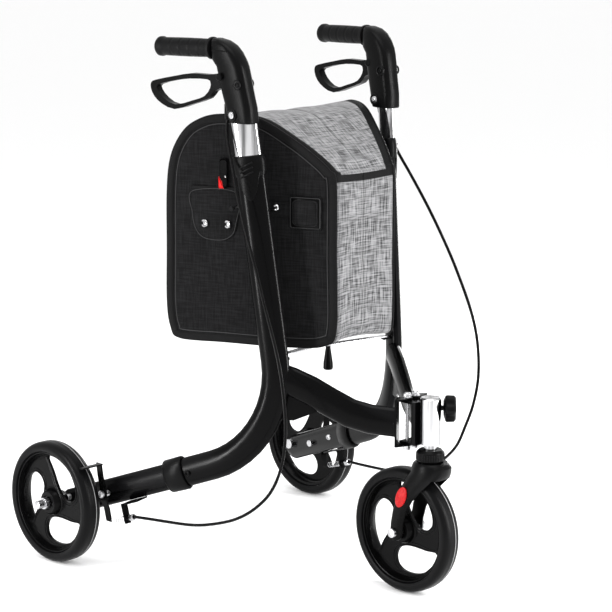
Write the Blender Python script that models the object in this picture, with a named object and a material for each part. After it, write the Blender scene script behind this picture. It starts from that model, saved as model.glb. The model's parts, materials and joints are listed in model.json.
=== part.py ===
"""Three-wheeled folding rollator walker with a bag, as separate named parts.

Metres, +Z up, front towards -Y, the user's right side at -X. Each side is
built once, on the +X side, and mirrored across X = 0.
"""
import math

import bmesh
import bpy
from mathutils import Matrix, Vector

GAP = 0.0003

WHEEL_RADIUS = 0.100
TYRE_HALF_WIDTH = 0.0172
RIM_RADIUS = 0.0835
WHEEL_SIDES = 40
FRONT_AXLE = Vector((0.0, -0.257, WHEEL_RADIUS))
REAR_AXLE = Vector((0.294, 0.257, WHEEL_RADIUS))

STEER_Y = -0.306
HEAD_RADIUS = 0.0165
STEM_RADIUS = 0.0100
HEAD_BOTTOM = 0.247
HEAD_TOP = 0.321
CAP_BOTTOM = 0.2195
CAP_TOP = 0.2386

FOLD_PIVOT = Vector((0.0093, -0.2652, 0.2770))
BRACKET_BOTTOM = 0.2395
BRACKET_TOP = 0.315

FRAME_ANGLE = math.radians(27.5)
FRAME_START_Y = -0.357
REAR_ANGLE = math.radians(17.3)
PLAN_BEND = 0.35
PLAN_BEND_HALF = 0.04
UPRIGHT_LEAN = 0.1334
UPRIGHT_REFERENCE = (0.2885, 0.345)
UPRIGHT_TOP = 0.684
REAR_SLOPE = math.radians(20.0)
SLIM_SLOPE = math.radians(19.5)
BEND_CORNER = (0.2736, 0.2334)
BEND_TANGENT = 0.1335
MAIN_END = 0.115
MAIN_OVAL = (0.0235, 0.0120)
SLIM_OVAL = (0.0215, 0.0100)
BORE_FLOOR = 0.500
HANDLE_TUBE_BOTTOM = 0.560
HANDLE_TUBE_TOP = 0.785

FRONT_TUBE_START = Vector((0.0265, -0.257, 0.0))
FRONT_TUBE_ANGLE = math.radians(33.7)
FRONT_TUBE_HEIGHTS = (
    (0.0004, 0.2770), (0.040, 0.2800), (0.072, 0.2880), (0.104, 0.3040),
    (0.136, 0.3215), (0.166, 0.3340), (0.186, 0.3400))

HANDLE_FLARE = math.radians(6.0)
GRIP_FRONT = Vector((0.1695, -0.0030, 0.8498))
GRIP_REAR = Vector((0.1802, 0.1125, 0.8468))
LEVER_PIVOT = Vector((0.1660, -0.0255, 0.8078))
BUTTON_CENTRE = Vector((0.1590, -0.0455, 0.7500))
BUTTON_HOLE = 0.0063

BRACE_LUG = Vector((0.112, -0.100, 0.372))
BRACE_MIDDLE_Y = -0.0816

BAG_START = Vector((0.066, -0.158, 0.0))
BAG_ANGLE = math.radians(25.2)
BAG_THICKNESS = 0.003

CABLE_RADIUS = 0.0025
CABLE_ROUTE = (
    (0.1675, -0.0285, 0.7412), (0.1720, -0.0330, 0.7150), (0.1830, -0.0580, 0.6640),
    (0.1930, -0.0790, 0.6260), (0.2030, -0.1080, 0.5760), (0.2100, -0.1360, 0.5260),
    (0.2160, -0.1610, 0.4760), (0.2200, -0.1900, 0.4120), (0.2210, -0.2050, 0.3600),
    (0.2190, -0.2100, 0.3040), (0.2150, -0.2030, 0.2550), (0.2120, -0.1878, 0.2139),
    (0.2140, -0.1707, 0.1826), (0.2165, -0.1487, 0.1596), (0.2194, -0.1235, 0.1406),
    (0.2226, -0.0954, 0.1257), (0.2261, -0.0646, 0.1147), (0.2301, -0.0285, 0.1051),
    (0.2341, 0.0086, 0.0998), (0.2415, 0.0776, 0.0950), (0.2468, 0.1112, 0.0930))
CABLE_GUIDE = Vector((0.1675, -0.0285, 0.7424))
BARREL_FRONT = Vector((0.2470, 0.1130, 0.0925))
BARREL_REAR = Vector((0.2472, 0.1330, 0.0858))
BRAKE_PIVOT = Vector((0.2545, 0.1810, 0.1190))

UP = Vector((0.0, 0.0, 1.0))
ALONG_X = Vector((1.0, 0.0, 0.0))
ALONG_Y = Vector((0.0, 1.0, 0.0))


# ---------------------------------------------------------------- helpers

def clear_scene():
    """Remove whatever the file starts with."""
    for item in list(bpy.data.objects):
        bpy.data.objects.remove(item, do_unlink=True)


def material(name, colour, roughness, metallic=0.0):
    """Return a plain Principled material, made once per name."""
    found = bpy.data.materials.get(name)
    if found:
        return found
    made = bpy.data.materials.new(name)
    made.use_nodes = True
    shader = made.node_tree.nodes["Principled BSDF"]
    shader.inputs["Base Color"].default_value = (*colour, 1.0)
    shader.inputs["Roughness"].default_value = roughness
    shader.inputs["Metallic"].default_value = metallic
    return made


def flat_direction(angle):
    """Return the level direction at an angle from +Y towards +X."""
    return Vector((math.sin(angle), math.cos(angle), 0.0))


def ring(centre, along, across, half_along, half_across, count=16, power=2.0):
    """Return the points of a closed superellipse."""
    points = []
    for index in range(count):
        angle = 2.0 * math.pi * index / count
        reach = math.copysign(abs(math.cos(angle)) ** (2.0 / power), math.cos(angle))
        width = math.copysign(abs(math.sin(angle)) ** (2.0 / power), math.sin(angle))
        points.append(centre + along * half_along * reach + across * half_across * width)
    return points


def smooth_loop(corners, steps=3):
    """Return a closed Catmull-Rom curve through flat (a, b) corners."""
    count = len(corners)
    points = []
    for index in range(count):
        before, start, end, after = (Vector(corners[(index + shift) % count])
                                     for shift in (-1, 0, 1, 2))
        for step in range(steps):
            t = step / steps
            points.append(0.5 * (2.0 * start + (end - before) * t
                                 + (2.0 * before - 5.0 * start + 4.0 * end - after) * t ** 2
                                 + (3.0 * start - before - 3.0 * end + after) * t ** 3))
    return points


def mesh_from(name, build):
    """Make a mesh with the faces build adds, normals outward."""
    work = bmesh.new()
    build(work)
    bmesh.ops.recalc_face_normals(work, faces=work.faces[:])
    mesh = bpy.data.meshes.new(name)
    work.to_mesh(mesh)
    work.free()
    return mesh


def add_object(name, mesh, paint, smooth_angle=35.0):
    """Add a mesh to the walker's collection with a material and shading."""
    item = bpy.data.objects.new(name, mesh)
    bpy.data.collections["rollator"].objects.link(item)
    mesh.materials.clear()
    mesh.materials.append(paint)
    shade(mesh, smooth_angle)
    return item


def shade(mesh, smooth_angle=35.0):
    """Shade round faces smooth and keep the sharp edges."""
    mesh.shade_smooth()
    mesh.set_sharp_from_angle(angle=math.radians(smooth_angle))


def loft(name, rings, paint, closed=False):
    """Join rings of equal length into one body, capped unless it is a closed tube."""
    def build(work):
        loops = [[work.verts.new(point) for point in points] for points in rings]
        pairs = list(zip(loops, loops[1:]))
        if closed:
            pairs.append((loops[-1], loops[0]))
        for first, second in pairs:
            for index in range(len(first)):
                after = (index + 1) % len(first)
                work.faces.new((first[index], first[after], second[after], second[index]))
        if not closed:
            work.faces.new(list(reversed(loops[0])))
            work.faces.new(loops[-1])
    return add_object(name, mesh_from(name, build), paint)


def turned(name, profile, origin, axis, paint, closed=False, count=20, phase=0.0):
    """Make a round part from (distance along the axis, radius) steps."""
    axis = axis.normalized()
    side = axis.orthogonal().normalized()
    if abs(axis.x) > 0.9:
        side = ALONG_Y.copy()
    side = Matrix.Rotation(phase, 3, axis) @ side
    other = axis.cross(side)
    rings = [ring(origin + axis * reach, side, other, radius, radius, count)
             for reach, radius in profile]
    return loft(name, rings, paint, closed)


def prism(name, outline, to_world, depth, paint):
    """Extrude a flat (a, b) outline both ways from its plane."""
    rings = []
    for offset in (-depth, depth):
        rings.append([to_world(a, b, offset) for a, b in outline])
    return loft(name, rings, paint)


def box(name, low, high, paint):
    """Make a box between two corners."""
    outline = ((low[0], low[1]), (high[0], low[1]), (high[0], high[1]), (low[0], high[1]))
    rings = [[Vector((x, y, z)) for x, y in outline] for z in (low[2], high[2])]
    return loft(name, rings, paint)


def bake(item):
    """Turn an object's modifiers into mesh."""
    bpy.context.view_layer.update()
    graph = bpy.context.evaluated_depsgraph_get()
    mesh = bpy.data.meshes.new_from_object(item.evaluated_get(graph))
    item.modifiers.clear()
    item.data = mesh
    work = bmesh.new()
    work.from_mesh(mesh)
    bmesh.ops.remove_doubles(work, verts=work.verts[:], dist=0.00001)
    bmesh.ops.dissolve_degenerate(work, edges=work.edges[:], dist=0.00001)
    work.to_mesh(mesh)
    work.free()
    shade(mesh)


def combine(item, tool, operation):
    """Join a tool to an object, or cut it away, and remove the tool."""
    step = item.modifiers.new("combine", "BOOLEAN")
    step.solver = "EXACT"
    step.operation = operation
    step.object = tool
    bake(item)
    bpy.data.objects.remove(tool, do_unlink=True)


def drill(item, start, end, radius, count=16):
    """Cut a round hole between two points."""
    tool = turned("tool", ((0.0, radius), ((end - start).length, radius)), start,
                  end - start, item.data.materials[0], count=count)
    combine(item, tool, "DIFFERENCE")


def set_origin(item, point):
    """Move an object's origin and leave its shape where it is."""
    item.data.transform(Matrix.Translation(-Vector(point)))
    item.location = Vector(point)


def mirrored(item):
    """Rename a part for the left side and return its copy on the right."""
    base = item.name
    mesh = item.data.copy()
    mesh.transform(Matrix.Scale(-1.0, 4, ALONG_X))
    mesh.flip_normals()
    shade(mesh)
    copy = bpy.data.objects.new("right_" + base, mesh)
    bpy.data.collections["rollator"].objects.link(copy)
    copy.location = (-item.location.x, item.location.y, item.location.z)
    item.name = "left_" + base
    item.data.name = "left_" + base
    mesh.name = "right_" + base
    return copy


# ------------------------------------------------------------- materials

def frame_paint():
    return material("frame_paint", (0.012, 0.013, 0.016), 0.32, 0.2)


def chrome():
    return material("chrome", (0.72, 0.72, 0.73), 0.12, 1.0)


def steel():
    return material("bright_steel", (0.55, 0.55, 0.56), 0.30, 1.0)


def black_plastic():
    return material("black_plastic", (0.018, 0.018, 0.019), 0.45)


def rim_plastic():
    return material("rim_plastic", (0.020, 0.020, 0.022), 0.35)


def tyre_rubber():
    return material("tyre_rubber", (0.030, 0.030, 0.032), 0.60)


def grip_rubber():
    return material("grip_rubber", (0.025, 0.025, 0.027), 0.70)


def reflector_red():
    return material("reflector_red", (0.55, 0.02, 0.015), 0.15)


def bag_side():
    return material("bag_side", (0.016, 0.016, 0.018), 0.85)


def bag_middle():
    return material("bag_middle", (0.16, 0.16, 0.17), 0.90)


# ---------------------------------------------------------------- wheels

WINDOW = ((0.0170, -0.0460), (0.0110, -0.0330), (-0.0020, -0.0265), (-0.0200, -0.0245),
          (-0.0450, -0.0255), (-0.0660, -0.0245), (-0.0700, -0.0320), (-0.0620, -0.0450),
          (-0.0450, -0.0600), (-0.0240, -0.0675), (-0.0020, -0.0675), (0.0130, -0.0600))
SEAT_RADIUS = 0.0062


def wheel_profile(shape):
    """Scale a (across, radius) profile so its flat sides reach the radius."""
    stretch = 1.0 / math.cos(math.pi / WHEEL_SIDES)
    return [(reach, radius * stretch) for reach, radius in shape]


def tyre(name, centre):
    """Solid tyre with a flat tread and round shoulders."""
    half = TYRE_HALF_WIDTH
    shape = ((-half * 0.72, RIM_RADIUS + GAP), (-half, 0.0880), (-half, 0.0930),
             (-half * 0.80, 0.0975), (-half * 0.45, WHEEL_RADIUS), (half * 0.45, WHEEL_RADIUS),
             (half * 0.80, 0.0975), (half, 0.0930), (half, 0.0880),
             (half * 0.72, RIM_RADIUS + GAP))
    phase = math.pi / WHEEL_SIDES
    made = turned(name, wheel_profile(shape), centre, ALONG_X, tyre_rubber(),
                  closed=True, count=WHEEL_SIDES, phase=phase)
    set_origin(made, centre)
    return made


def rim(name, centre, outward):
    """Moulded rim: barrel, dished web with three windows, and hub."""
    shape = ((-0.0165, SEAT_RADIUS), (-0.0165, 0.0150), (0.0000, 0.0190), (0.0000, 0.0755),
             (-0.0120, 0.0785), (-0.0120, RIM_RADIUS), (0.0130, RIM_RADIUS), (0.0130, 0.0795),
             (0.0050, 0.0775), (0.0050, 0.0225), (0.0165, 0.0180), (0.0165, SEAT_RADIUS))
    phase = math.pi / WHEEL_SIDES
    made = turned(name, wheel_profile(shape), centre, ALONG_X * outward, rim_plastic(),
                  closed=True, count=WHEEL_SIDES, phase=phase)
    outline = smooth_loop(WINDOW, 2)
    for turn in range(3):
        angle = math.radians(120.0 * turn)

        def to_world(a, b, offset, angle=angle):
            y = a * math.cos(angle) - b * math.sin(angle)
            z = a * math.sin(angle) + b * math.cos(angle)
            return centre + Vector((offset, y * -outward, z))
        tool = prism("tool", outline, to_world, 0.03, rim_plastic())
        combine(made, tool, "DIFFERENCE")
    set_origin(made, centre)
    return made


def front_wheel():
    tyre("front_tyre", FRONT_AXLE)
    rim("front_rim", FRONT_AXLE, -1.0)
    profile = ((-0.0365, 0.0040), (-0.0360, 0.0075), (-0.0310, 0.0075), (-0.0305, 0.0060),
               (0.0305, 0.0060), (0.0310, 0.0075), (0.0360, 0.0075), (0.0365, 0.0040))
    axle = turned("front_axle", profile, FRONT_AXLE, ALONG_X, steel(), count=18)
    set_origin(axle, FRONT_AXLE)


def rear_wheels():
    """Both rear wheels: the same moulding, turned to face outward."""
    for side, outward in (("left", 1.0), ("right", -1.0)):
        centre = Vector((REAR_AXLE.x * outward, REAR_AXLE.y, REAR_AXLE.z))
        tyre(side + "_rear_tyre", centre)
        rim(side + "_rear_rim", centre, outward)
    inner = 0.2424 - REAR_AXLE.x
    outer = 0.0205
    profile = ((inner - 0.0055, 0.0050), (inner - 0.0050, 0.0085), (inner, 0.0085),
               (inner, 0.0060), (outer - 0.0030, 0.0060), (outer - 0.0030, 0.0095),
               (outer + 0.0050, 0.0095), (outer + 0.0050, 0.0070), (0.0380, 0.0070),
               (0.0390, 0.0045))
    axle = turned("rear_axle", profile, REAR_AXLE, ALONG_X, steel(), count=18)
    set_origin(axle, REAR_AXLE)
    mirrored(axle)


# ------------------------------------------------------- steering column

def head_tube():
    """Round tube, closed at the top, with the lock knob's hole."""
    centre = Vector((0.0, STEER_Y, 0.0))
    profile = ((HEAD_TOP - 0.004, 0.0020), (HEAD_TOP - 0.004, STEM_RADIUS + 0.0004),
               (HEAD_BOTTOM, STEM_RADIUS + 0.0004), (HEAD_BOTTOM, HEAD_RADIUS),
               (HEAD_TOP - 0.002, HEAD_RADIUS), (HEAD_TOP, HEAD_RADIUS - 0.002))
    rings = [ring(centre + UP * z, ALONG_Y, ALONG_X, radius, radius, 28)
             for z, radius in profile]
    made = loft("head_tube", rings, chrome())
    knob_axis = Vector((0.71, -0.70, 0.0)).normalized()
    start = Vector((0.0, STEER_Y, 0.304))
    drill(made, start, start + knob_axis * 0.03, 0.0043)
    set_origin(made, (0.0, STEER_Y, HEAD_BOTTOM))


def fork_stem():
    profile = ((CAP_BOTTOM, 0.0090), (CAP_BOTTOM + 0.001, STEM_RADIUS),
               (0.3140, STEM_RADIUS), (0.3150, 0.0090))
    made = turned("fork_stem", profile, Vector((0.0, STEER_Y, 0.0)), UP, chrome(), count=24)
    set_origin(made, (0.0, STEER_Y, CAP_BOTTOM))


def bearing_cap():
    inner = STEM_RADIUS + GAP
    profile = ((CAP_BOTTOM, inner), (CAP_BOTTOM, 0.0205), (CAP_BOTTOM + 0.002, 0.0220),
               (CAP_TOP - 0.004, 0.0220), (CAP_TOP, 0.0180), (CAP_TOP, inner))
    made = turned("bearing_cap", profile, Vector((0.0, STEER_Y, 0.0)), UP, black_plastic(),
                  closed=True, count=28)
    set_origin(made, (0.0, STEER_Y, CAP_BOTTOM))


def lock_knob():
    """Five-lobed knob on a bolt that reaches through the head tube."""
    axis = Vector((0.71, -0.70, 0.0)).normalized()
    side = axis.cross(UP)
    start = Vector((0.0, STEER_Y, 0.304))
    rings = []
    for reach, radius, lobe in ((0.0106, 0.0040, 0.0), (0.0195, 0.0040, 0.0),
                                (0.0196, 0.0120, 0.0), (0.0225, 0.0190, 0.0020),
                                (0.0245, 0.0200, 0.0022), (0.0360, 0.0195, 0.0022),
                                (0.0385, 0.0165, 0.0018)):
        points = []
        for index in range(30):
            angle = 2.0 * math.pi * index / 30
            size = radius + lobe * math.cos(5.0 * angle)
            points.append(start + axis * reach + side * size * math.cos(angle)
                          + UP * size * math.sin(angle))
        rings.append(points)
    made = loft("lock_knob", rings, black_plastic())
    set_origin(made, start + axis * 0.0195)


FORK_SECTIONS = (
    # height, front y, rear y, half width, squareness
    (0.2190, -0.3340, -0.2820, 0.0245, 2.0), (0.2165, -0.3380, -0.2790, 0.0265, 2.0),
    (0.2120, -0.3420, -0.2770, 0.0280, 2.1), (0.2030, -0.3400, -0.2760, 0.0284, 2.3),
    (0.1930, -0.3340, -0.2710, 0.0292, 2.7), (0.1730, -0.3095, -0.2610, 0.0300, 3.2),
    (0.1550, -0.2920, -0.2530, 0.0300, 3.4), (0.1370, -0.2800, -0.2480, 0.0300, 3.4),
    (0.1150, -0.2730, -0.2440, 0.0300, 3.4), (0.0980, -0.2715, -0.2430, 0.0300, 3.4),
    (0.0900, -0.2680, -0.2460, 0.0297, 3.4), (0.0860, -0.2610, -0.2520, 0.0290, 3.4))


def fork():
    """Trailing fork lofted from level sections, with the wheel's slot cut out."""
    rings = []
    for height, front, rear, half_width, square in FORK_SECTIONS:
        centre = Vector((0.0, (front + rear) / 2.0, height))
        rings.append(ring(centre, ALONG_Y, ALONG_X, (rear - front) / 2.0, half_width, 24,
                          square))
    made = loft("fork", rings, black_plastic())
    slot = ((-0.42, 0.05), (-0.42, 0.1880), (-0.3250, 0.1945), (-0.2950, 0.2025),
            (-0.2700, 0.2055), (-0.15, 0.2055), (-0.15, 0.05))
    tool = prism("tool", slot, lambda a, b, offset: Vector((offset, a, b)), 0.0222,
                 black_plastic())
    combine(made, tool, "DIFFERENCE")
    drill(made, FRONT_AXLE - ALONG_X * 0.05, FRONT_AXLE + ALONG_X * 0.05, 0.0063)
    set_origin(made, (0.0, STEER_Y, CAP_BOTTOM))


def reflectors():
    """Oval reflector on the outer face of the fork leg."""
    centre = Vector((0.0304, -0.2735, 0.1606))
    tilt = math.radians(25.0)
    along = Vector((0.0, -math.sin(tilt), math.cos(tilt)))
    across = ALONG_X.cross(along)
    rings = [ring(centre + ALONG_X * reach, along, across, 0.0185 * size, 0.0100 * size, 18)
             for reach, size in ((0.0, 1.0), (0.0012, 1.0), (0.0022, 0.8))]
    made = loft("reflector", rings, reflector_red())
    set_origin(made, centre)
    mirrored(made)


# ------------------------------------------------------------ fold hinge

def hinge_block():
    """C-shaped bracket behind the head tube with both fold pivots."""
    low = BRACKET_BOTTOM + 0.0034
    high = BRACKET_TOP - 0.0034
    face = STEER_Y + HEAD_RADIUS + GAP
    outline = ((face, low), (face, high), (-0.2560, high), (-0.2560, high - 0.0036),
               (-0.2810, high - 0.0036), (-0.2810, low + 0.0036), (-0.2560, low + 0.0036),
               (-0.2560, low))
    made = prism("hinge_block", outline, lambda a, b, offset: Vector((offset, a, b)), 0.0175,
                 frame_paint())
    for side in (-1.0, 1.0):
        pivot = Vector((FOLD_PIVOT.x * side, FOLD_PIVOT.y, 0.0))
        drill(made, pivot + UP * 0.22, pivot + UP * 0.34, 0.0031)
    set_origin(made, (0.0, FOLD_PIVOT.y, FOLD_PIVOT.z))


def hinge_bracket():
    """U bracket: a plate across the front tube's end and two arms to the pivot."""
    tube = flat_direction(FRONT_TUBE_ANGLE)
    across = Vector((tube.y, -tube.x, 0.0))
    face = FRONT_TUBE_START
    corners = [face + across * 0.0120, face - across * 0.0105,
               face - across * 0.0105 - tube * 0.0034, face + across * 0.0120 - tube * 0.0034]
    for index in range(9):
        angle = FRONT_TUBE_ANGLE + math.radians(90.0 + 22.5 * index)
        corners.append(FOLD_PIVOT + flat_direction(angle) * 0.0085)
    outline = hull_outline([(corner.x, corner.y) for corner in corners])
    rings = [[Vector((x, y, z)) for x, y in outline] for z in (BRACKET_BOTTOM, BRACKET_TOP)]
    made = loft("hinge_bracket", rings, frame_paint())
    inner = face - tube * 0.0034
    opening = ((-0.03, -0.03), (-0.03, 0.03), (0.0, 0.03), (0.0, -0.03))
    reach = (BRACKET_TOP - BRACKET_BOTTOM) / 2.0 - 0.0030
    middle = (BRACKET_TOP + BRACKET_BOTTOM) / 2.0

    def to_world(a, b, offset):
        return Vector((inner.x, inner.y, middle + offset)) + tube * a + across * b
    combine(made, prism("tool", opening, to_world, reach, frame_paint()), "DIFFERENCE")
    drill(made, Vector((FOLD_PIVOT.x, FOLD_PIVOT.y, 0.22)),
          Vector((FOLD_PIVOT.x, FOLD_PIVOT.y, 0.34)), 0.0031)
    set_origin(made, FOLD_PIVOT)
    mirrored(made)


def hull_outline(points):
    """Return the convex outline round flat points, in order."""
    ordered = sorted(set((round(x, 6), round(y, 6)) for x, y in points))

    def half(sequence):
        chain = []
        for point in sequence:
            while len(chain) > 1 and turn(chain[-2], chain[-1], point) <= 1e-10:
                chain.pop()
            chain.append(point)
        return chain[:-1]
    return half(ordered) + half(reversed(ordered))


def turn(first, second, third):
    """Positive when three flat points turn left."""
    return ((second[0] - first[0]) * (third[1] - first[1])
            - (second[1] - first[1]) * (third[0] - first[0]))


def fold_bolts():
    profile = ((BRACKET_BOTTOM - 0.0075, 0.0040), (BRACKET_BOTTOM - 0.0070, 0.0062),
               (BRACKET_BOTTOM - GAP, 0.0062), (BRACKET_BOTTOM - GAP, 0.0028),
               (BRACKET_TOP + GAP, 0.0028), (BRACKET_TOP + GAP, 0.0068),
               (BRACKET_TOP + 0.0020, 0.0068), (BRACKET_TOP + 0.0022, 0.0060),
               (BRACKET_TOP + 0.0065, 0.0056), (BRACKET_TOP + 0.0078, 0.0040))
    made = turned("fold_bolt", profile, Vector((FOLD_PIVOT.x, FOLD_PIVOT.y, 0.0)), UP, steel(),
                  count=16)
    set_origin(made, FOLD_PIVOT)
    mirrored(made)


# ------------------------------------------------------------ side frame

def plan_point(reach):
    """Return the level point and direction at a distance along the frame."""
    start = PLAN_BEND - PLAN_BEND_HALF
    if reach <= start:
        direction = flat_direction(FRAME_ANGLE)
        return Vector((0.0, FRAME_START_Y, 0.0)) + direction * reach, direction
    corner = Vector((0.0, FRAME_START_Y, 0.0)) + flat_direction(FRAME_ANGLE) * PLAN_BEND
    if reach >= PLAN_BEND + PLAN_BEND_HALF:
        direction = flat_direction(REAR_ANGLE)
        return corner + direction * (reach - PLAN_BEND), direction
    t = (reach - start) / (2.0 * PLAN_BEND_HALF)
    first = corner - flat_direction(FRAME_ANGLE) * PLAN_BEND_HALF
    last = corner + flat_direction(REAR_ANGLE) * PLAN_BEND_HALF
    point = first * (1.0 - t) ** 2 + corner * 2.0 * t * (1.0 - t) + last * t ** 2
    angle = FRAME_ANGLE + (REAR_ANGLE - FRAME_ANGLE) * t
    return point, flat_direction(angle)


def upright_reach(height):
    """Return how far along the frame the upright's centre is at a height."""
    return UPRIGHT_REFERENCE[0] + UPRIGHT_LEAN * (height - UPRIGHT_REFERENCE[1])


def upright_point(height):
    point, _ = plan_point(0.0)
    return point + flat_direction(FRAME_ANGLE) * upright_reach(height) + UP * height


def upright_axis():
    return (flat_direction(FRAME_ANGLE) * UPRIGHT_LEAN + UP).normalized()


def main_path():
    """Return (centre, direction, across) along the main tube from the top down."""
    lean = Vector((UPRIGHT_LEAN, 1.0)).normalized()
    slope = Vector((math.cos(REAR_SLOPE), -math.sin(REAR_SLOPE)))
    corner = Vector(BEND_CORNER)
    start = corner + lean * BEND_TANGENT
    turning = math.acos(max(-1.0, min(1.0, -lean.dot(slope) * -1.0)))
    turning = math.pi - turning
    radius = BEND_TANGENT / math.tan(turning / 2.0)
    inward = Vector((lean.y, -lean.x))
    hub = start + inward * radius
    flat = []
    steps = 11
    for step in range(steps + 1):
        angle = turning * step / steps
        spoke = -inward * math.cos(angle) - lean * math.sin(angle)
        heading = -lean * math.cos(angle) + inward * math.sin(angle)
        flat.append((hub + spoke * radius, heading))
    last = flat[-1][0]
    end = PLAN_BEND + MAIN_END
    for share in (0.5, 1.0):
        reach = last.x + (end - last.x) * share
        flat.append((Vector((reach, last.y - (reach - last.x) * math.tan(REAR_SLOPE))), slope))
    frame_level = flat_direction(FRAME_ANGLE)
    frame_across = Vector((frame_level.y, -frame_level.x, 0.0))
    path = [(upright_point(UPRIGHT_TOP), -upright_axis(), frame_across)]
    for centre, heading in flat:
        point, level = plan_point(centre.x)
        direction = (level * heading.x + UP * heading.y).normalized()
        across = Vector((level.y, -level.x, 0.0))
        path.append((point + UP * centre.y, direction, across))
    return path


def oval_rings(path, half_along, half_across, count=16):
    """Return oval rings square to a path, their long way in its plane."""
    rings = []
    for centre, direction, across in path:
        rings.append(ring(centre, direction.cross(across), across, half_along, half_across,
                          count))
    return rings


def main_skin(extra):
    """Return a solid body of the main tube grown by a margin."""
    rings = oval_rings(main_path(), MAIN_OVAL[0] + extra, MAIN_OVAL[1] + extra)
    return loft("tool", rings, frame_paint())


def main_tube():
    """Upright and rear leg in one bent tube, bored for the handle tube."""
    path = main_path()
    axis = -upright_axis()
    across = path[0][2]
    bore_path = [(upright_point(BORE_FLOOR), axis, across), (path[0][0], axis, across)]
    bore = oval_rings(bore_path, SLIM_OVAL[0] + GAP, SLIM_OVAL[1] + GAP)
    made = loft("main_tube", bore + oval_rings(path, *MAIN_OVAL), frame_paint())
    normal = path[0][2]
    tube = upright_point(BRACE_LUG.z)
    level = flat_direction(FRAME_ANGLE)
    corners = []
    for index in range(10):
        angle = 2.0 * math.pi * index / 10
        corners.append((BRACE_LUG.x + 0.0065 * math.cos(angle),
                        BRACE_LUG.y + 0.0065 * math.sin(angle)))
    for side in (-1.0, 1.0):
        foot = tube - normal * 0.006 + level * 0.012 * side
        corners.append((foot.x, foot.y))
    outline = hull_outline(corners)
    rings = [[Vector((x, y, z)) for x, y in outline] for z in (0.3652, 0.3682)]
    combine(made, loft("tool", rings, frame_paint()), "UNION")
    drill(made, BRACE_LUG - UP * 0.02, BRACE_LUG + UP * 0.02, 0.0033, 12)
    set_origin(made, FOLD_PIVOT)
    mirrored(made)


def front_tube():
    """Tube from the hinge bracket to the upright, with a gusset, coped to fit."""
    level = flat_direction(FRONT_TUBE_ANGLE)
    across = Vector((level.y, -level.x, 0.0))
    centres = [FRONT_TUBE_START + level * reach + UP * height
               for reach, height in FRONT_TUBE_HEIGHTS]
    path = []
    for index, centre in enumerate(centres):
        before = centres[max(index - 1, 0)]
        after = centres[min(index + 1, len(centres) - 1)]
        direction = (after - before).normalized()
        if index == 0:
            direction = level
        path.append((centre, direction, across))
    made = loft("front_tube", oval_rings(path, 0.0238, MAIN_OVAL[1]), frame_paint())
    gusset = ((0.118, 0.3050), (0.1240, 0.2880), (0.1620, 0.2720), (0.1900, 0.2720),
              (0.1900, 0.3250))

    def to_world(a, b, offset):
        return FRONT_TUBE_START + level * a + UP * b + across * offset
    combine(made, prism("tool", gusset, to_world, 0.0025, frame_paint()), "UNION")
    combine(made, main_skin(GAP), "DIFFERENCE")
    set_origin(made, FOLD_PIVOT)
    mirrored(made)


def main_height(reach):
    """Return the main tube's height at a distance past the plan bend."""
    return BEND_CORNER[1] - (PLAN_BEND + reach - BEND_CORNER[0]) * math.tan(REAR_SLOPE)


def slim_height(reach):
    """Return the slim rear tube's height at a distance past the plan bend."""
    return 0.1727 - (reach - 0.090) * math.tan(SLIM_SLOPE)


def rear_line(reach, height):
    """Return the point at a distance past the plan bend, at a height."""
    point, _ = plan_point(PLAN_BEND + reach)
    return Vector((point.x, point.y, height))


def rear_tube():
    """Slim tube from inside the sleeve to the axle, with a rounded end."""
    level = flat_direction(REAR_ANGLE)
    across = Vector((level.y, -level.x, 0.0))
    direction = (level * math.cos(SLIM_SLOPE) - UP * math.sin(SLIM_SLOPE)).normalized()
    sections = ((MAIN_END + 0.0005, 1.0), (0.3220, 1.0), (0.3300, 0.86), (0.3345, 0.60))
    rings = []
    for reach, size in sections:
        centre = rear_line(reach, slim_height(reach))
        rings.append(ring(centre, direction.cross(across), across, SLIM_OVAL[0] * size,
                          SLIM_OVAL[1], 16))
    made = loft("rear_tube", rings, frame_paint())
    drill(made, Vector((0.22, REAR_AXLE.y, REAR_AXLE.z)),
          Vector((0.30, REAR_AXLE.y, REAR_AXLE.z)), 0.0063)
    pivot = Vector((0.0, BRAKE_PIVOT.y, BRAKE_PIVOT.z))
    drill(made, pivot + ALONG_X * 0.20, pivot + ALONG_X * 0.28, 0.0034, 12)
    set_origin(made, FOLD_PIVOT)
    mirrored(made)


def rear_sleeve():
    """Moulded sleeve over the step between the two rear tubes."""
    level = flat_direction(REAR_ANGLE)
    across = Vector((level.y, -level.x, 0.0))
    direction = (level * math.cos(REAR_SLOPE) - UP * math.sin(REAR_SLOPE)).normalized()
    slim = (SLIM_OVAL[0] + GAP, SLIM_OVAL[1] + GAP, slim_height)
    main = (MAIN_OVAL[0] + GAP, MAIN_OVAL[1] + GAP, main_height)
    steps = ((0.0985, 0.0262, 0.0150, main_height), (0.1010, 0.0278, 0.0165, main_height),
             (0.1310, 0.0272, 0.0160, slim_height), (0.1335, 0.0255, 0.0145, slim_height),
             (0.1335, *slim), (MAIN_END + 0.001, *slim), (MAIN_END + 0.001, *main),
             (0.0985, *main))
    rings = []
    for reach, half_along, half_across, height in steps:
        rings.append(ring(rear_line(reach, height(reach)), direction.cross(across), across,
                          half_along, half_across, 20))
    made = loft("rear_sleeve", rings, black_plastic(), closed=True)
    set_origin(made, FOLD_PIVOT)
    mirrored(made)


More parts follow.
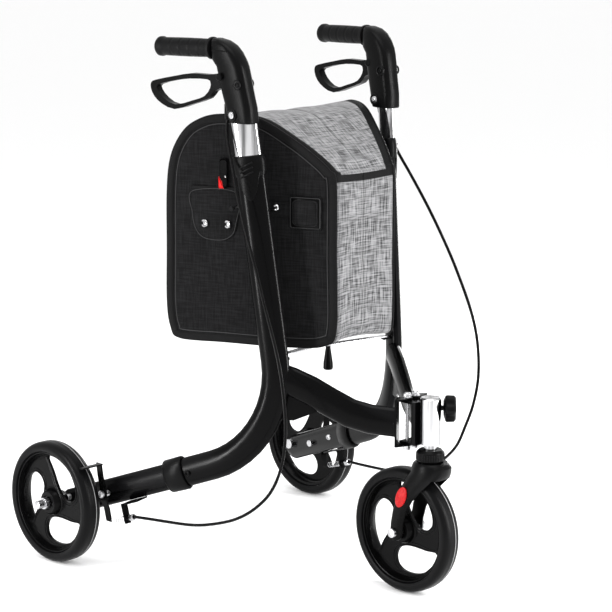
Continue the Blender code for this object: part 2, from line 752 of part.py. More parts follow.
def height_collar():
    """Moulded collar on top of the upright with a pointed tail outboard."""
    axis = upright_axis()
    level = flat_direction(FRAME_ANGLE)
    across = Vector((level.y, -level.x, 0.0))
    along = across.cross(axis)
    steps = ((0.6875, 0.0245, 0.0130, 0.0), (0.6855, 0.0262, 0.0142, 0.0),
             (0.6760, 0.0275, 0.0152, 0.0), (0.6620, 0.0268, 0.0148, 0.3),
             (0.6560, 0.0252, 0.0134, 1.0),
             (0.6560, MAIN_OVAL[0] + GAP, MAIN_OVAL[1] + GAP, 1.0),
             (UPRIGHT_TOP + 0.0005, MAIN_OVAL[0] + GAP, MAIN_OVAL[1] + GAP, 0.0),
             (UPRIGHT_TOP + 0.0005, SLIM_OVAL[0] + GAP, SLIM_OVAL[1] + GAP, 0.0),
             (0.6875, SLIM_OVAL[0] + GAP, SLIM_OVAL[1] + GAP, 0.0))
    rings = []
    for height, half_along, half_across, tail in steps:
        points = ring(upright_point(height), along, across, half_along, half_across, 24)
        for index, point in enumerate(points):
            outboard = math.sin(2.0 * math.pi * index / 24)
            drop = 0.038 * tail * max(0.0, (outboard - 0.70) / 0.30)
            points[index] = point - axis * drop
        rings.append(points)
    made = loft("height_collar", rings, black_plastic(), closed=True)
    set_origin(made, upright_point(UPRIGHT_TOP))
    mirrored(made)


# --------------------------------------------------------------- handles

def handle_tube():
    """Inner tube, with the hole that its push button sinks into."""
    across = Vector((flat_direction(FRAME_ANGLE).y, -flat_direction(FRAME_ANGLE).x, 0.0))
    path = [(upright_point(height), -upright_axis(), across)
            for height in (HANDLE_TUBE_TOP, HANDLE_TUBE_BOTTOM)]
    made = loft("handle_tube", oval_rings(path, *SLIM_OVAL), chrome())
    outboard = lever_point(0.0, 0.0, 1.0) - LEVER_PIVOT
    drill(made, BUTTON_CENTRE + outboard * 0.008, BUTTON_CENTRE + outboard * 0.03, BUTTON_HOLE)
    set_origin(made, upright_point(UPRIGHT_TOP))
    mirrored(made)


CASING_SECTIONS = (
    # height, front y, rear y, half width
    (0.7375, -0.0775, -0.0337, 0.0150), (0.7400, -0.0785, -0.0325, 0.0158),
    (0.7620, -0.0770, -0.0262, 0.0160), (0.7870, -0.0715, -0.0195, 0.0162),
    (0.8080, -0.0675, -0.0150, 0.0165), (0.8230, -0.0640, -0.0120, 0.0168),
    (0.8330, -0.0600, -0.0040, 0.0174), (0.8450, -0.0520, -0.0034, 0.0174),
    (0.8550, -0.0410, -0.0034, 0.0168), (0.8620, -0.0285, -0.0034, 0.0135),
    (0.8658, -0.0150, -0.0040, 0.0075))


def casing_x(y, height):
    """Return how far outboard the casing's middle plane is."""
    base = upright_point(height)
    return base.x + (y - base.y) * math.tan(HANDLE_FLARE)


def handle_casing():
    """Moulded elbow over the handle tube, slotted for the lever."""
    along = flat_direction(HANDLE_FLARE)
    across = Vector((along.y, -along.x, 0.0))
    rings = []
    for height, front, rear, half_width in CASING_SECTIONS:
        middle = (front + rear) / 2.0
        centre = Vector((casing_x(middle, height), middle, height))
        rings.append(ring(centre, along, across, (rear - front) / 2.0, half_width, 24, 3.6))
    made = loft("handle_casing", rings, black_plastic())
    guide = turned("tool", ((0.0, 0.0046), (0.0230, 0.0046)), CABLE_GUIDE, UP, black_plastic(),
                   count=12)
    combine(made, guide, "UNION")
    level = flat_direction(FRAME_ANGLE)
    side = Vector((level.y, -level.x, 0.0))
    bore_path = [(upright_point(height), -upright_axis(), side)
                 for height in (HANDLE_TUBE_TOP + GAP, 0.72)]
    bore = loft("tool", oval_rings(bore_path, SLIM_OVAL[0] + GAP, SLIM_OVAL[1] + GAP),
                black_plastic())
    combine(made, bore, "DIFFERENCE")
    slot = ((-0.0110, -0.0280), (-0.0110, 0.0105), (0.0400, 0.0105), (0.0400, -0.0280))
    half_slot = LEVER_HALF_WIDTH + 0.0004
    combine(made, prism("tool", slot, lever_point, half_slot, black_plastic()), "DIFFERENCE")
    drill(made, lever_point(0.0, 0.0, -0.03), lever_point(0.0, 0.0, 0.03), 0.0031, 12)
    drill(made, BUTTON_CENTRE + across * 0.005, BUTTON_CENTRE + across * 0.03, BUTTON_HOLE)
    set_origin(made, upright_point(UPRIGHT_TOP))
    mirrored(made)


def grip():
    """Rubber grip with a flange and a slightly swollen middle."""
    axis = GRIP_REAR - GRIP_FRONT
    length = axis.length
    profile = ((0.0, 0.0160), (0.0010, 0.0174), (0.0060, 0.0174), (0.0072, 0.0148),
               (0.0300, 0.0138), (0.0650, 0.0146), (length - 0.0120, 0.0140),
               (length - 0.0060, 0.0156), (length - 0.0010, 0.0152), (length, 0.0130))
    made = turned("grip", profile, GRIP_FRONT, axis, grip_rubber(), count=20)
    set_origin(made, upright_point(UPRIGHT_TOP))
    mirrored(made)


LEVER_HALF_WIDTH = 0.0062
LEVER_OUTER = ((-0.0060, 0.0020), (0.0000, 0.0062), (0.0300, 0.0010), (0.0674, 0.0010),
               (0.1015, -0.0050), (0.1422, -0.0135), (0.1532, -0.0185), (0.1538, -0.0280),
               (0.1466, -0.0400), (0.1301, -0.0510), (0.1037, -0.0575), (0.0674, -0.0475),
               (0.0328, -0.0360), (0.0212, -0.0240), (0.0040, -0.0175), (-0.0065, -0.0080))
LEVER_INNER = ((0.0344, -0.0065), (0.0696, -0.0075), (0.1037, -0.0125), (0.1378, -0.0210),
               (0.1400, -0.0290), (0.1257, -0.0420), (0.1015, -0.0500), (0.0652, -0.0410),
               (0.0410, -0.0330), (0.0289, -0.0200), (0.0278, -0.0110))


def lever_point(a, b, offset):
    """Return a point in the lever's plane: back from the pivot, up, and outboard."""
    along = flat_direction(HANDLE_FLARE)
    across = Vector((along.y, -along.x, 0.0))
    return LEVER_PIVOT + along * a + UP * b + across * offset


def brake_lever():
    """Loop lever: a bent band round the finger gap."""
    outer = smooth_loop(LEVER_OUTER, 2)
    made = prism("brake_lever", outer, lever_point, LEVER_HALF_WIDTH, black_plastic())
    inner = smooth_loop(LEVER_INNER, 2)
    combine(made, prism("tool", inner, lever_point, 0.02, black_plastic()), "DIFFERENCE")
    drill(made, lever_point(0.0, 0.0, -0.03), lever_point(0.0, 0.0, 0.03), 0.0031, 12)
    set_origin(made, LEVER_PIVOT)
    mirrored(made)


def lever_bolt():
    across = lever_point(0.0, 0.0, 1.0) - LEVER_PIVOT
    reach = 0.0168
    profile = ((-reach, 0.0020), (-reach, 0.0028), (reach, 0.0028), (reach, 0.0050),
               (reach + 0.0015, 0.0050), (reach + 0.0022, 0.0035))
    made = turned("lever_bolt", profile, LEVER_PIVOT, across, steel(), count=12)
    set_origin(made, LEVER_PIVOT)
    mirrored(made)


def height_button():
    across = lever_point(0.0, 0.0, 1.0) - LEVER_PIVOT
    profile = ((0.0142, 0.0058), (0.0185, 0.0058), (0.0195, 0.0046))
    made = turned("height_button", profile, BUTTON_CENTRE, across, steel(), count=16)
    set_origin(made, BUTTON_CENTRE + across * 0.0142)
    mirrored(made)


# ---------------------------------------------------------------- brakes

def brake_cable():
    """Cable from the casing to the cable stop."""
    curve = bpy.data.curves.new("brake_cable", "CURVE")
    curve.dimensions = "3D"
    curve.bevel_depth = CABLE_RADIUS
    curve.bevel_resolution = 2
    curve.use_fill_caps = True
    line = curve.splines.new("POLY")
    points = [Vector(point) for point in CABLE_ROUTE]
    line.points.add(len(points) - 1)
    for slot, point in zip(line.points, points):
        slot.co = (*point, 1.0)
    drawn = bpy.data.objects.new("drawn", curve)
    bpy.context.scene.collection.objects.link(drawn)
    bpy.context.view_layer.update()
    graph = bpy.context.evaluated_depsgraph_get()
    mesh = bpy.data.meshes.new_from_object(drawn.evaluated_get(graph))
    bpy.data.objects.remove(drawn, do_unlink=True)
    work = bmesh.new()
    work.from_mesh(mesh)
    bmesh.ops.remove_doubles(work, verts=work.verts[:], dist=0.00001)
    bmesh.ops.recalc_face_normals(work, faces=work.faces[:])
    work.to_mesh(mesh)
    work.free()
    made = add_object("brake_cable", mesh, black_plastic())
    set_origin(made, FOLD_PIVOT)
    mirrored(made)


def cable_stop():
    """Strap under the rear tube with a leg that holds the cable's barrel."""
    level = flat_direction(REAR_ANGLE)
    across = Vector((level.y, -level.x, 0.0))
    along = (level * math.cos(SLIM_SLOPE) - UP * math.sin(SLIM_SLOPE)).normalized()
    below = along.cross(across)
    if below.z > 0.0:
        below = -below
    root = rear_line(0.189, slim_height(0.189)) + below * (SLIM_OVAL[0] + GAP)
    strap = ((-0.0070, 0.0), (0.0260, 0.0), (0.0260, 0.0028), (-0.0070, 0.0028))

    def strap_point(a, b, offset):
        return root + along * a + below * b + across * (0.0135 + offset)
    made = prism("cable_stop", strap, strap_point, 0.0155, frame_paint())
    leg = ((0.1370, 0.1100), (0.1400, 0.1100), (0.1300, 0.0790), (0.1270, 0.0790))

    def leg_point(a, b, offset):
        return Vector((0.2470 + offset, a, b))
    combine(made, prism("tool", leg, leg_point, 0.0060, frame_paint()), "UNION")
    profile = ((0.0, 0.0032), (0.0008, 0.0040), (0.0080, 0.0040), (0.0085, 0.0052),
               (0.0180, 0.0052), (0.0186, 0.0034), ((BARREL_REAR - BARREL_FRONT).length, 0.0034))
    barrel = turned("tool", profile, BARREL_FRONT, BARREL_REAR - BARREL_FRONT, frame_paint(),
                    count=12)
    combine(made, barrel, "UNION")
    set_origin(made, FOLD_PIVOT)
    mirrored(made)


ARM_SECTIONS = (
    # height, outboard x, middle y, half width
    (0.0725, 0.2475, 0.1755, 0.0060), (0.0950, 0.2500, 0.1780, 0.0064),
    (0.1090, 0.2545, 0.1800, 0.0074), (0.1290, 0.2545, 0.1815, 0.0074),
    (0.1480, 0.2590, 0.1815, 0.0064), (0.1722, 0.2620, 0.1820, 0.0060))


def brake_arm():
    """Swinging arm whose top carries the shoe over the tyre."""
    rings = []
    for height, outboard, middle, half_width in ARM_SECTIONS:
        rings.append([Vector((outboard + x, middle + y, height))
                      for x, y in ((-0.0015, -half_width), (0.0015, -half_width),
                                   (0.0015, half_width), (-0.0015, half_width))])
    made = loft("brake_arm", rings, frame_paint())
    shoe = box("tool", (0.2610, 0.1730, 0.1698), (0.3030, 0.1820, 0.1722), frame_paint())
    combine(made, shoe, "UNION")
    drill(made, BRAKE_PIVOT - ALONG_X * 0.02, BRAKE_PIVOT + ALONG_X * 0.02, 0.0034, 12)
    set_origin(made, BRAKE_PIVOT)
    mirrored(made)


def brake_bolt():
    profile = ((-0.0402, 0.0040), (-0.0397, 0.0058), (-0.0348, 0.0058), (-0.0348, 0.0031),
               (-0.0092, 0.0031), (-0.0092, 0.0055), (-0.0018, 0.0055), (-0.0018, 0.0031),
               (0.0019, 0.0031), (0.0019, 0.0062), (0.0060, 0.0062), (0.0090, 0.0040))
    made = turned("brake_bolt", profile, BRAKE_PIVOT, ALONG_X, steel(), count=14)
    set_origin(made, BRAKE_PIVOT)
    mirrored(made)


def brake_spring():
    """Coil on the inner cable between the cable stop and the arm."""
    turns = 6
    per_turn = 8
    start = Vector((0.2473, 0.1345, 0.0853))
    end = Vector((0.2475, 0.1650, 0.0768))
    axis = (end - start).normalized()
    side = ALONG_X
    other = axis.cross(side)
    points = []
    for index in range(turns * per_turn + 1):
        angle = 2.0 * math.pi * index / per_turn
        centre = start + (end - start) * index / (turns * per_turn)
        points.append(centre + side * 0.0042 * math.cos(angle) + other * 0.0042 * math.sin(angle))
    rings = []
    for index, point in enumerate(points):
        ahead = points[min(index + 1, len(points) - 1)] - points[max(index - 1, 0)]
        outward = (point - start - axis * (point - start).dot(axis)).normalized()
        rings.append(ring(point, outward, ahead.normalized().cross(outward), 0.0007, 0.0007, 4))
    made = loft("brake_spring", rings, steel())
    set_origin(made, BRAKE_PIVOT)
    mirrored(made)


# ----------------------------------------------------------------- brace

def brace_link(side, name, height):
    """Flat link from the upright's lug to the middle, with its own pin."""
    lug = Vector((BRACE_LUG.x * side, BRACE_LUG.y, 0.0))
    middle = Vector((0.0, BRACE_MIDDLE_Y, 0.0))
    direction = (middle - lug).normalized()
    sideways = Vector((-direction.y, direction.x, 0.0))
    length = (middle - lug).length
    outline = []
    for index in range(7):
        angle = math.radians(90.0 + 30.0 * index)
        outline.append((0.0060 * math.cos(angle), 0.0060 * math.sin(angle)))
    for index in range(7):
        angle = math.radians(-90.0 + 30.0 * index)
        outline.append((length + 0.0075 * math.cos(angle), 0.0075 * math.sin(angle)))

    def to_world(a, b, offset):
        return lug + direction * a + sideways * b + UP * (height + offset)
    made = prism(name, outline, to_world, 0.0013, steel())
    pin = turned("tool", ((0.3630, 0.0030), (height, 0.0030)), lug, UP, steel(), count=12)
    combine(made, pin, "UNION")
    drill(made, middle + UP * (height - 0.01), middle + UP * (height + 0.01), 0.0033, 12)
    set_origin(made, lug + UP * height)


def brace_handle():
    """Cone pull hanging under the middle pivot, with its pin in the lower link."""
    profile = ((0.3290, 0.0065), (0.3310, 0.0080), (0.3400, 0.0078), (0.3640, 0.0042),
               (0.3676, 0.0042), (0.3676, 0.0030), (0.3728, 0.0030))
    made = turned("brace_handle", profile, Vector((0.0, BRACE_MIDDLE_Y, 0.0)), UP,
                  black_plastic(), count=16)
    set_origin(made, (0.0, BRACE_MIDDLE_Y, 0.372))


# ------------------------------------------------------------------- bag

BAG_OUTLINE = ((-0.0055, 0.6460), (-0.0060, 0.5300), (-0.0060, 0.4150), (0.0130, 0.3880),
               (0.0760, 0.3815), (0.1820, 0.3820), (0.2590, 0.3830), (0.2750, 0.4000),
               (0.2810, 0.4430), (0.2800, 0.5300), (0.2790, 0.6200), (0.2720, 0.6750),
               (0.2520, 0.7140), (0.2250, 0.7350), (0.1870, 0.7450), (0.1230, 0.7410),
               (0.0650, 0.7110), (0.0260, 0.6840), (0.0050, 0.6650))


def bag_point(a, b, offset):
    along = flat_direction(BAG_ANGLE)
    across = Vector((along.y, -along.x, 0.0))
    return BAG_START + along * a + UP * b + across * offset


def bag_panel():
    made = prism("bag_panel", BAG_OUTLINE, bag_point, BAG_THICKNESS / 2.0, bag_side())
    set_origin(made, bag_point(0.14, 0.56, 0.0))
    mirrored(made)


def bag_gusset():
    """Soft middle of the bag, between the two side panels."""
    inner = -(BAG_THICKNESS / 2.0 + 0.0005)
    left = [bag_point(a, b, inner) for a, b in BAG_OUTLINE]
    middle = [Vector((0.0, point.y, point.z - 0.006 * (point.z > 0.66))) for point in left]
    right = [Vector((-point.x, point.y, point.z)) for point in left]
    made = loft("bag_gusset", [right, middle, left], bag_middle())
    set_origin(made, (0.0, 0.0, 0.56))


# ------------------------------------------------------------------ build

def build():
    clear_scene()
    group = bpy.data.collections.new("rollator")
    bpy.context.scene.collection.children.link(group)
    front_wheel()
    rear_wheels()
    head_tube()
    fork_stem()
    bearing_cap()
    lock_knob()
    fork()
    reflectors()
    hinge_block()
    hinge_bracket()
    fold_bolts()
    main_tube()
    front_tube()
    rear_tube()
    rear_sleeve()
    height_collar()
    handle_tube()
    handle_casing()
    grip()
    brake_lever()
    lever_bolt()
    height_button()
    brake_cable()
    cable_stop()
    brake_arm()
    brake_bolt()
    brake_spring()
    brace_link(-1.0, "right_brace_link", 0.3745)
    brace_link(1.0, "left_brace_link", 0.3700)
    brace_handle()
    bag_panel()
    bag_gusset()


build()
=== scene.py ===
"""Looks for a three-wheeled rollator walker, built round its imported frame.

Metres, +Z up, front towards -Y, the user's right side at -X. Pieces that come
in pairs are built for the left side, at +X, and mirrored across X = 0.
"""
import json
import math

import bmesh
import bpy
from mathutils import Matrix, Vector, noise


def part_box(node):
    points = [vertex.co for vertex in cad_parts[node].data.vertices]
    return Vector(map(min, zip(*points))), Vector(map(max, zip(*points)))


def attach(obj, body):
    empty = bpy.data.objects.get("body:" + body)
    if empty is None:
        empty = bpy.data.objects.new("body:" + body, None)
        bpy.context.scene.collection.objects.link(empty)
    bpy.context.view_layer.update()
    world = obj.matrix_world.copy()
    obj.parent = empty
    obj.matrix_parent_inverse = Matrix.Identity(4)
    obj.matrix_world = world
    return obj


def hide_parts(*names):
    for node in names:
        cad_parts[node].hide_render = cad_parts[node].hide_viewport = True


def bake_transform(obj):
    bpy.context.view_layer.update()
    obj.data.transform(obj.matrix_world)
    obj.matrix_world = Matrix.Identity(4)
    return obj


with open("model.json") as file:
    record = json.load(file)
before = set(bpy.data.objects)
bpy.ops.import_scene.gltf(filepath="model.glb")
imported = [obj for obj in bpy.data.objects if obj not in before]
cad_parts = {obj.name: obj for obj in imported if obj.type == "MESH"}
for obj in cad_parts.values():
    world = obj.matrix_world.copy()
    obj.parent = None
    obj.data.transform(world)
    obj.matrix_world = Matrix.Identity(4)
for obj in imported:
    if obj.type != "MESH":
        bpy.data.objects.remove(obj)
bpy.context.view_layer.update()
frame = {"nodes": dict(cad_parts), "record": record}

UP = Vector((0.0, 0.0, 1.0))
ALONG_X = Vector((1.0, 0.0, 0.0))
ALONG_Y = Vector((0.0, 1.0, 0.0))

CAMERA_PLACE = Vector((-2.64115784, -2.72591608, 1.16943187))
CAMERA_RIGHT = Vector((0.7142, -0.6999, 0.0))
CAMERA_BACK = Vector((-0.6867, -0.7007, 0.1934))
CAMERA_LENS = 140.0857
CAMERA_AZIMUTH = math.atan2(CAMERA_PLACE.y, CAMERA_PLACE.x)

BLACK_GLOSS = 0.06

WHEEL_RADIUS = 0.100
FRONT_AXLE = Vector((0.0, -0.257, WHEEL_RADIUS))
REAR_AXLE = Vector((0.294, 0.257, WHEEL_RADIUS))
WHEEL_STEPS = 96

FRAME_ANGLE = math.radians(27.5)
FRAME_START = Vector((0.0, -0.357, 0.0))
REAR_ANGLE = math.radians(17.3)
PLAN_BEND = 0.35
HANDLE_FLARE = math.radians(6.0)
GRIP_FRONT = Vector((0.1695, -0.0030, 0.8498))
GRIP_REAR = Vector((0.1802, 0.1125, 0.8468))
LEVER_PIVOT = Vector((0.1660, -0.0255, 0.8078))
BUTTON_CENTRE = Vector((0.1590, -0.0455, 0.7500))
CASING_HALF_WIDTH = 0.0160
BARREL_FRONT = Vector((0.2470, 0.1130, 0.0925))
BARREL_REAR = Vector((0.2472, 0.1330, 0.0858))

BAG_START = Vector((0.066, -0.158, 0.0))
BAG_ANGLE = math.radians(25.2)
BAG_HALF_THICKNESS = 0.0015
BINDING_WIDTH = 0.012

CABLE_DIAMETER = 0.005
CABLE_ROUTE = (
    (0.1675, -0.0285, 0.7412), (0.1720, -0.0330, 0.7150), (0.1830, -0.0580, 0.6640),
    (0.1930, -0.0790, 0.6260), (0.2030, -0.1080, 0.5760), (0.2100, -0.1360, 0.5260),
    (0.2160, -0.1610, 0.4760), (0.2200, -0.1900, 0.4120), (0.2210, -0.2050, 0.3600),
    (0.2190, -0.2100, 0.3040), (0.2150, -0.2030, 0.2550), (0.2120, -0.1878, 0.2139),
    (0.2140, -0.1707, 0.1826), (0.2165, -0.1487, 0.1596), (0.2194, -0.1235, 0.1406),
    (0.2226, -0.0954, 0.1257), (0.2261, -0.0646, 0.1147), (0.2301, -0.0285, 0.1051),
    (0.2341, 0.0086, 0.0998), (0.2415, 0.0776, 0.0950), (0.2468, 0.1112, 0.0930))


# ------------------------------------------------------------ directions

def flat_direction(angle):
    """Return the level direction at an angle from +Y towards +X."""
    return Vector((math.sin(angle), math.cos(angle), 0.0))


def outboard(angle):
    """Return the level direction square to flat_direction, away from the middle."""
    along = flat_direction(angle)
    return Vector((along.y, -along.x, 0.0))


def upright_point(height):
    """Return the middle of the left upright at a height."""
    reach = 0.2885 + 0.1334 * (height - 0.345)
    return FRAME_START + flat_direction(FRAME_ANGLE) * reach + UP * height


def casing_point(y, height, proud=0.0):
    """Return a point on the left casing's outboard face."""
    base = upright_point(height)
    middle = Vector((base.x + (y - base.y) * math.tan(HANDLE_FLARE), y, height))
    return middle + outboard(HANDLE_FLARE) * (CASING_HALF_WIDTH + proud)


def rear_leg_point(reach, height):
    """Return the middle of the left rear leg at a distance past the plan bend."""
    corner = FRAME_START + flat_direction(FRAME_ANGLE) * PLAN_BEND
    point = corner + flat_direction(REAR_ANGLE) * reach
    return Vector((point.x, point.y, height))


def bag_point(a, b, proud=0.0):
    """Return a point of the left bag panel: back along it, up, and outboard."""
    return BAG_START + flat_direction(BAG_ANGLE) * a + UP * b + outboard(BAG_ANGLE) * proud


# --------------------------------------------------------------- materials

def shader_for(name, colour, roughness, metallic=0.0):
    """Return a new material, its node tree and its Principled node."""
    made = bpy.data.materials.new(name)
    made.use_nodes = True
    tree = made.node_tree
    shader = tree.nodes["Principled BSDF"]
    shader.inputs["Base Color"].default_value = (*colour, 1.0)
    shader.inputs["Roughness"].default_value = roughness
    shader.inputs["Metallic"].default_value = metallic
    return made, tree, shader


def coordinates(tree, kind="Object", stretch=(1.0, 1.0, 1.0)):
    """Return a coordinate output, in metres, stretched along each axis."""
    source = tree.nodes.new("ShaderNodeTexCoord")
    mapping = tree.nodes.new("ShaderNodeMapping")
    mapping.inputs["Scale"].default_value = stretch
    tree.links.new(source.outputs[kind], mapping.inputs["Vector"])
    return mapping.outputs["Vector"]


def noise_value(tree, where, scale, detail, roughness=0.5):
    """Return the value output of a noise texture."""
    made = tree.nodes.new("ShaderNodeTexNoise")
    made.inputs["Scale"].default_value = scale
    made.inputs["Detail"].default_value = detail
    made.inputs["Roughness"].default_value = roughness
    tree.links.new(where, made.inputs["Vector"])
    return made.outputs["Fac"]


def remap(tree, value, low, high, start=0.3, end=0.7):
    """Map a value between two limits onto another range."""
    made = tree.nodes.new("ShaderNodeMapRange")
    made.inputs["From Min"].default_value = start
    made.inputs["From Max"].default_value = end
    made.inputs["To Min"].default_value = low
    made.inputs["To Max"].default_value = high
    tree.links.new(value, made.inputs["Value"])
    return made.outputs["Result"]


def blend_colours(tree, factor, first, second):
    """Return a colour between two, by a factor output."""
    made = tree.nodes.new("ShaderNodeMix")
    made.data_type = "RGBA"
    made.inputs["A"].default_value = (*first, 1.0)
    made.inputs["B"].default_value = (*second, 1.0)
    tree.links.new(factor, made.inputs["Factor"])
    return made.outputs["Result"]


def add_bump(tree, shader, height, distance, strength=1.0):
    """Press a height value into a shader's normals."""
    made = tree.nodes.new("ShaderNodeBump")
    made.inputs["Strength"].default_value = strength
    made.inputs["Distance"].default_value = distance
    tree.links.new(height, made.inputs["Height"])
    tree.links.new(made.outputs["Normal"], shader.inputs["Normal"])


def moulded(name, colour, edge_highlight, roughness, grain, depth, spread=0.06):
    """A material with patchy roughness, fine grain and a painted highlight: a lighter colour on
    convex edges.
    """
    made, tree, shader = shader_for(name, colour, roughness)
    shader.inputs["Specular IOR Level"].default_value = BLACK_GLOSS
    where = coordinates(tree)
    patches = noise_value(tree, where, 18.0, 4.0)
    tree.links.new(remap(tree, patches, roughness - spread, roughness + spread),
                   shader.inputs["Roughness"])
    # Painted highlight: convex edges, found by pointiness, are coloured lighter than the base.
    geometry = tree.nodes.new("ShaderNodeNewGeometry")
    edges = remap(tree, geometry.outputs["Pointiness"], 0.0, 0.6, 0.53, 0.62)
    tree.links.new(blend_colours(tree, edges, colour, edge_highlight), shader.inputs["Base Color"])
    add_bump(tree, shader, noise_value(tree, where, grain, 3.0), depth)
    return made


def frame_paint():
    """Gloss black powder coat with a faint orange peel."""
    return moulded("frame_paint", (0.0012, 0.0012, 0.0013), (0.006, 0.006, 0.0065), 0.20,
                   260.0, 0.00002, 0.04)


def black_plastic():
    return moulded("black_plastic", (0.0016, 0.0016, 0.0017), (0.010, 0.010, 0.0105), 0.30,
                   1500.0, 0.00010)


def rim_plastic():
    return moulded("rim_plastic", (0.0015, 0.0015, 0.0016), (0.014, 0.014, 0.0145), 0.22,
                   1100.0, 0.00006)


def tyre_rubber():
    return moulded("tyre_rubber", (0.0030, 0.0030, 0.0032), (0.014, 0.014, 0.014), 0.34,
                   900.0, 0.00018)


def tyre_line():
    return moulded("tyre_line", (0.30, 0.30, 0.31), (0.4, 0.4, 0.4), 0.60, 900.0, 0.00010)


def grip_rubber():
    return moulded("grip_rubber", (0.0030, 0.0030, 0.0032), (0.018, 0.018, 0.018), 0.42,
                   1300.0, 0.00022)


def recess():
    return moulded("recess", (0.002, 0.002, 0.002), (0.01, 0.01, 0.01), 0.80, 900.0, 0.0001)


def metal(name, colour, roughness, streak, dark=1.0, light=1.12):
    """Metal with streaks along one axis; dark and light scale its colour at the extremes."""
    made, tree, shader = shader_for(name, colour, roughness, 1.0)
    where = coordinates(tree, stretch=streak)
    streaks = noise_value(tree, where, 60.0, 5.0, 0.6)
    tree.links.new(remap(tree, streaks, roughness * 0.75, roughness * 1.35),
                   shader.inputs["Roughness"])
    low = tuple(part * dark for part in colour)
    high = tuple(min(1.0, part * light) for part in colour)
    tree.links.new(blend_colours(tree, remap(tree, streaks, 0.0, 1.0, 0.38, 0.60), low, high),
                   shader.inputs["Base Color"])
    add_bump(tree, shader, streaks, 0.00003, 0.5)
    return made


def chrome():
    return metal("chrome", (0.60, 0.60, 0.61), 0.15, (1.6, 1.6, 0.05), 0.32, 1.25)


def bright_steel():
    return metal("bright_steel", (0.46, 0.46, 0.47), 0.26, (3.0, 3.0, 3.0))


def reflector_red():
    """Red lens over small moulded prisms."""
    made, tree, shader = shader_for("reflector_red", (0.62, 0.004, 0.006), 0.12)
    cells = tree.nodes.new("ShaderNodeTexVoronoi")
    cells.inputs["Scale"].default_value = 420.0
    tree.links.new(coordinates(tree), cells.inputs["Vector"])
    add_bump(tree, shader, cells.outputs["Distance"], 0.0006)
    edges = remap(tree, cells.outputs["Distance"], 0.0, 1.0, 0.1, 0.8)
    tree.links.new(blend_colours(tree, edges, (0.50, 0.002, 0.004), (0.30, 0.001, 0.002)),
                   shader.inputs["Base Color"])
    shader.inputs["Specular IOR Level"].default_value = 0.2
    return made


def red_plastic():
    return moulded("red_plastic", (0.60, 0.012, 0.012), (0.8, 0.1, 0.1), 0.35, 1200.0, 0.0001)


def thread_streaks(tree):
    """Return the streak values of the threads that run across and along a cloth."""
    across = noise_value(tree, coordinates(tree, "UV", (34.0, 430.0, 1.0)), 1.0, 1.0, 0.4)
    along = noise_value(tree, coordinates(tree, "UV", (430.0, 34.0, 1.0)), 1.0, 1.0, 0.4)
    return across, along


def weave_height(tree, pitch):
    """Return the over and under pattern of a plain weave of that thread pitch."""
    made = tree.nodes.new("ShaderNodeTexChecker")
    made.inputs["Scale"].default_value = 1.0 / pitch
    tree.links.new(coordinates(tree, "UV"), made.inputs["Vector"])
    return made.outputs["Fac"]


def heather_cloth():
    """Grey heather cloth: pale and dark threads of uneven thickness."""
    made, tree, shader = shader_for("heather_cloth", (0.2, 0.2, 0.2), 0.92)
    across, along = thread_streaks(tree)
    mixed = tree.nodes.new("ShaderNodeMix")
    mixed.inputs["Factor"].default_value = 0.5
    tree.links.new(across, mixed.inputs["A"])
    tree.links.new(along, mixed.inputs["B"])
    threads = remap(tree, mixed.outputs["Result"], 0.0, 1.0, 0.36, 0.62)
    tree.links.new(blend_colours(tree, threads, (0.009, 0.009, 0.010), (0.215, 0.215, 0.22)),
                   shader.inputs["Base Color"])
    add_bump(tree, shader, mixed.outputs["Result"], 0.0009)
    shader.inputs["Sheen Weight"].default_value = 0.15
    return made


def black_cloth():
    """Tight black woven cloth with a soft sheen."""
    made, tree, shader = shader_for("black_cloth", (0.012, 0.012, 0.013), 0.88)
    across, along = thread_streaks(tree)
    both = tree.nodes.new("ShaderNodeMath")
    both.operation = "ADD"
    tree.links.new(across, both.inputs[0])
    tree.links.new(along, both.inputs[1])
    shades = remap(tree, both.outputs["Value"], 0.0, 1.0, 0.8, 1.25)
    tree.links.new(blend_colours(tree, shades, (0.0040, 0.0040, 0.0042),
                                 (0.0095, 0.0095, 0.0100)), shader.inputs["Base Color"])
    add_bump(tree, shader, weave_height(tree, 0.0011), 0.0003, 0.6)
    shader.inputs["Specular IOR Level"].default_value = BLACK_GLOSS
    shader.inputs["Sheen Weight"].default_value = 0.03
    return made


def binding_tape():
    """Ribbed black tape round the bag's edges."""
    made, tree, shader = shader_for("binding_tape", (0.005, 0.005, 0.005), 0.55)
    shader.inputs["Specular IOR Level"].default_value = BLACK_GLOSS
    ribs = tree.nodes.new("ShaderNodeTexWave")
    ribs.inputs["Scale"].default_value = 260.0
    tree.links.new(coordinates(tree, "UV"), ribs.inputs["Vector"])
    add_bump(tree, shader, ribs.outputs["Fac"], 0.0003, 0.6)
    tree.links.new(blend_colours(tree, ribs.outputs["Fac"], (0.0025, 0.0025, 0.0025),
                                 (0.008, 0.008, 0.0084)), shader.inputs["Base Color"])
    return made


def stitch_thread():
    return moulded("stitch_thread", (0.028, 0.028, 0.029), (0.06, 0.06, 0.06), 0.8,
                   2000.0, 0.0002)


def floor_paint():
    made, tree, shader = shader_for("floor_paint", (0.98, 0.98, 0.98), 0.60)
    where = coordinates(tree)
    shader.inputs["Specular IOR Level"].default_value = 0.3
    tree.links.new(remap(tree, noise_value(tree, where, 3.0, 3.0), 0.50, 0.62),
                   shader.inputs["Roughness"])
    return made


PAINTS = {make.__name__: make() for make in (
    frame_paint, black_plastic, rim_plastic, tyre_rubber, tyre_line, grip_rubber, recess,
    chrome, bright_steel, reflector_red, red_plastic, heather_cloth, black_cloth,
    binding_tape, stitch_thread, floor_paint)}


# ---------------------------------------------------------------- making

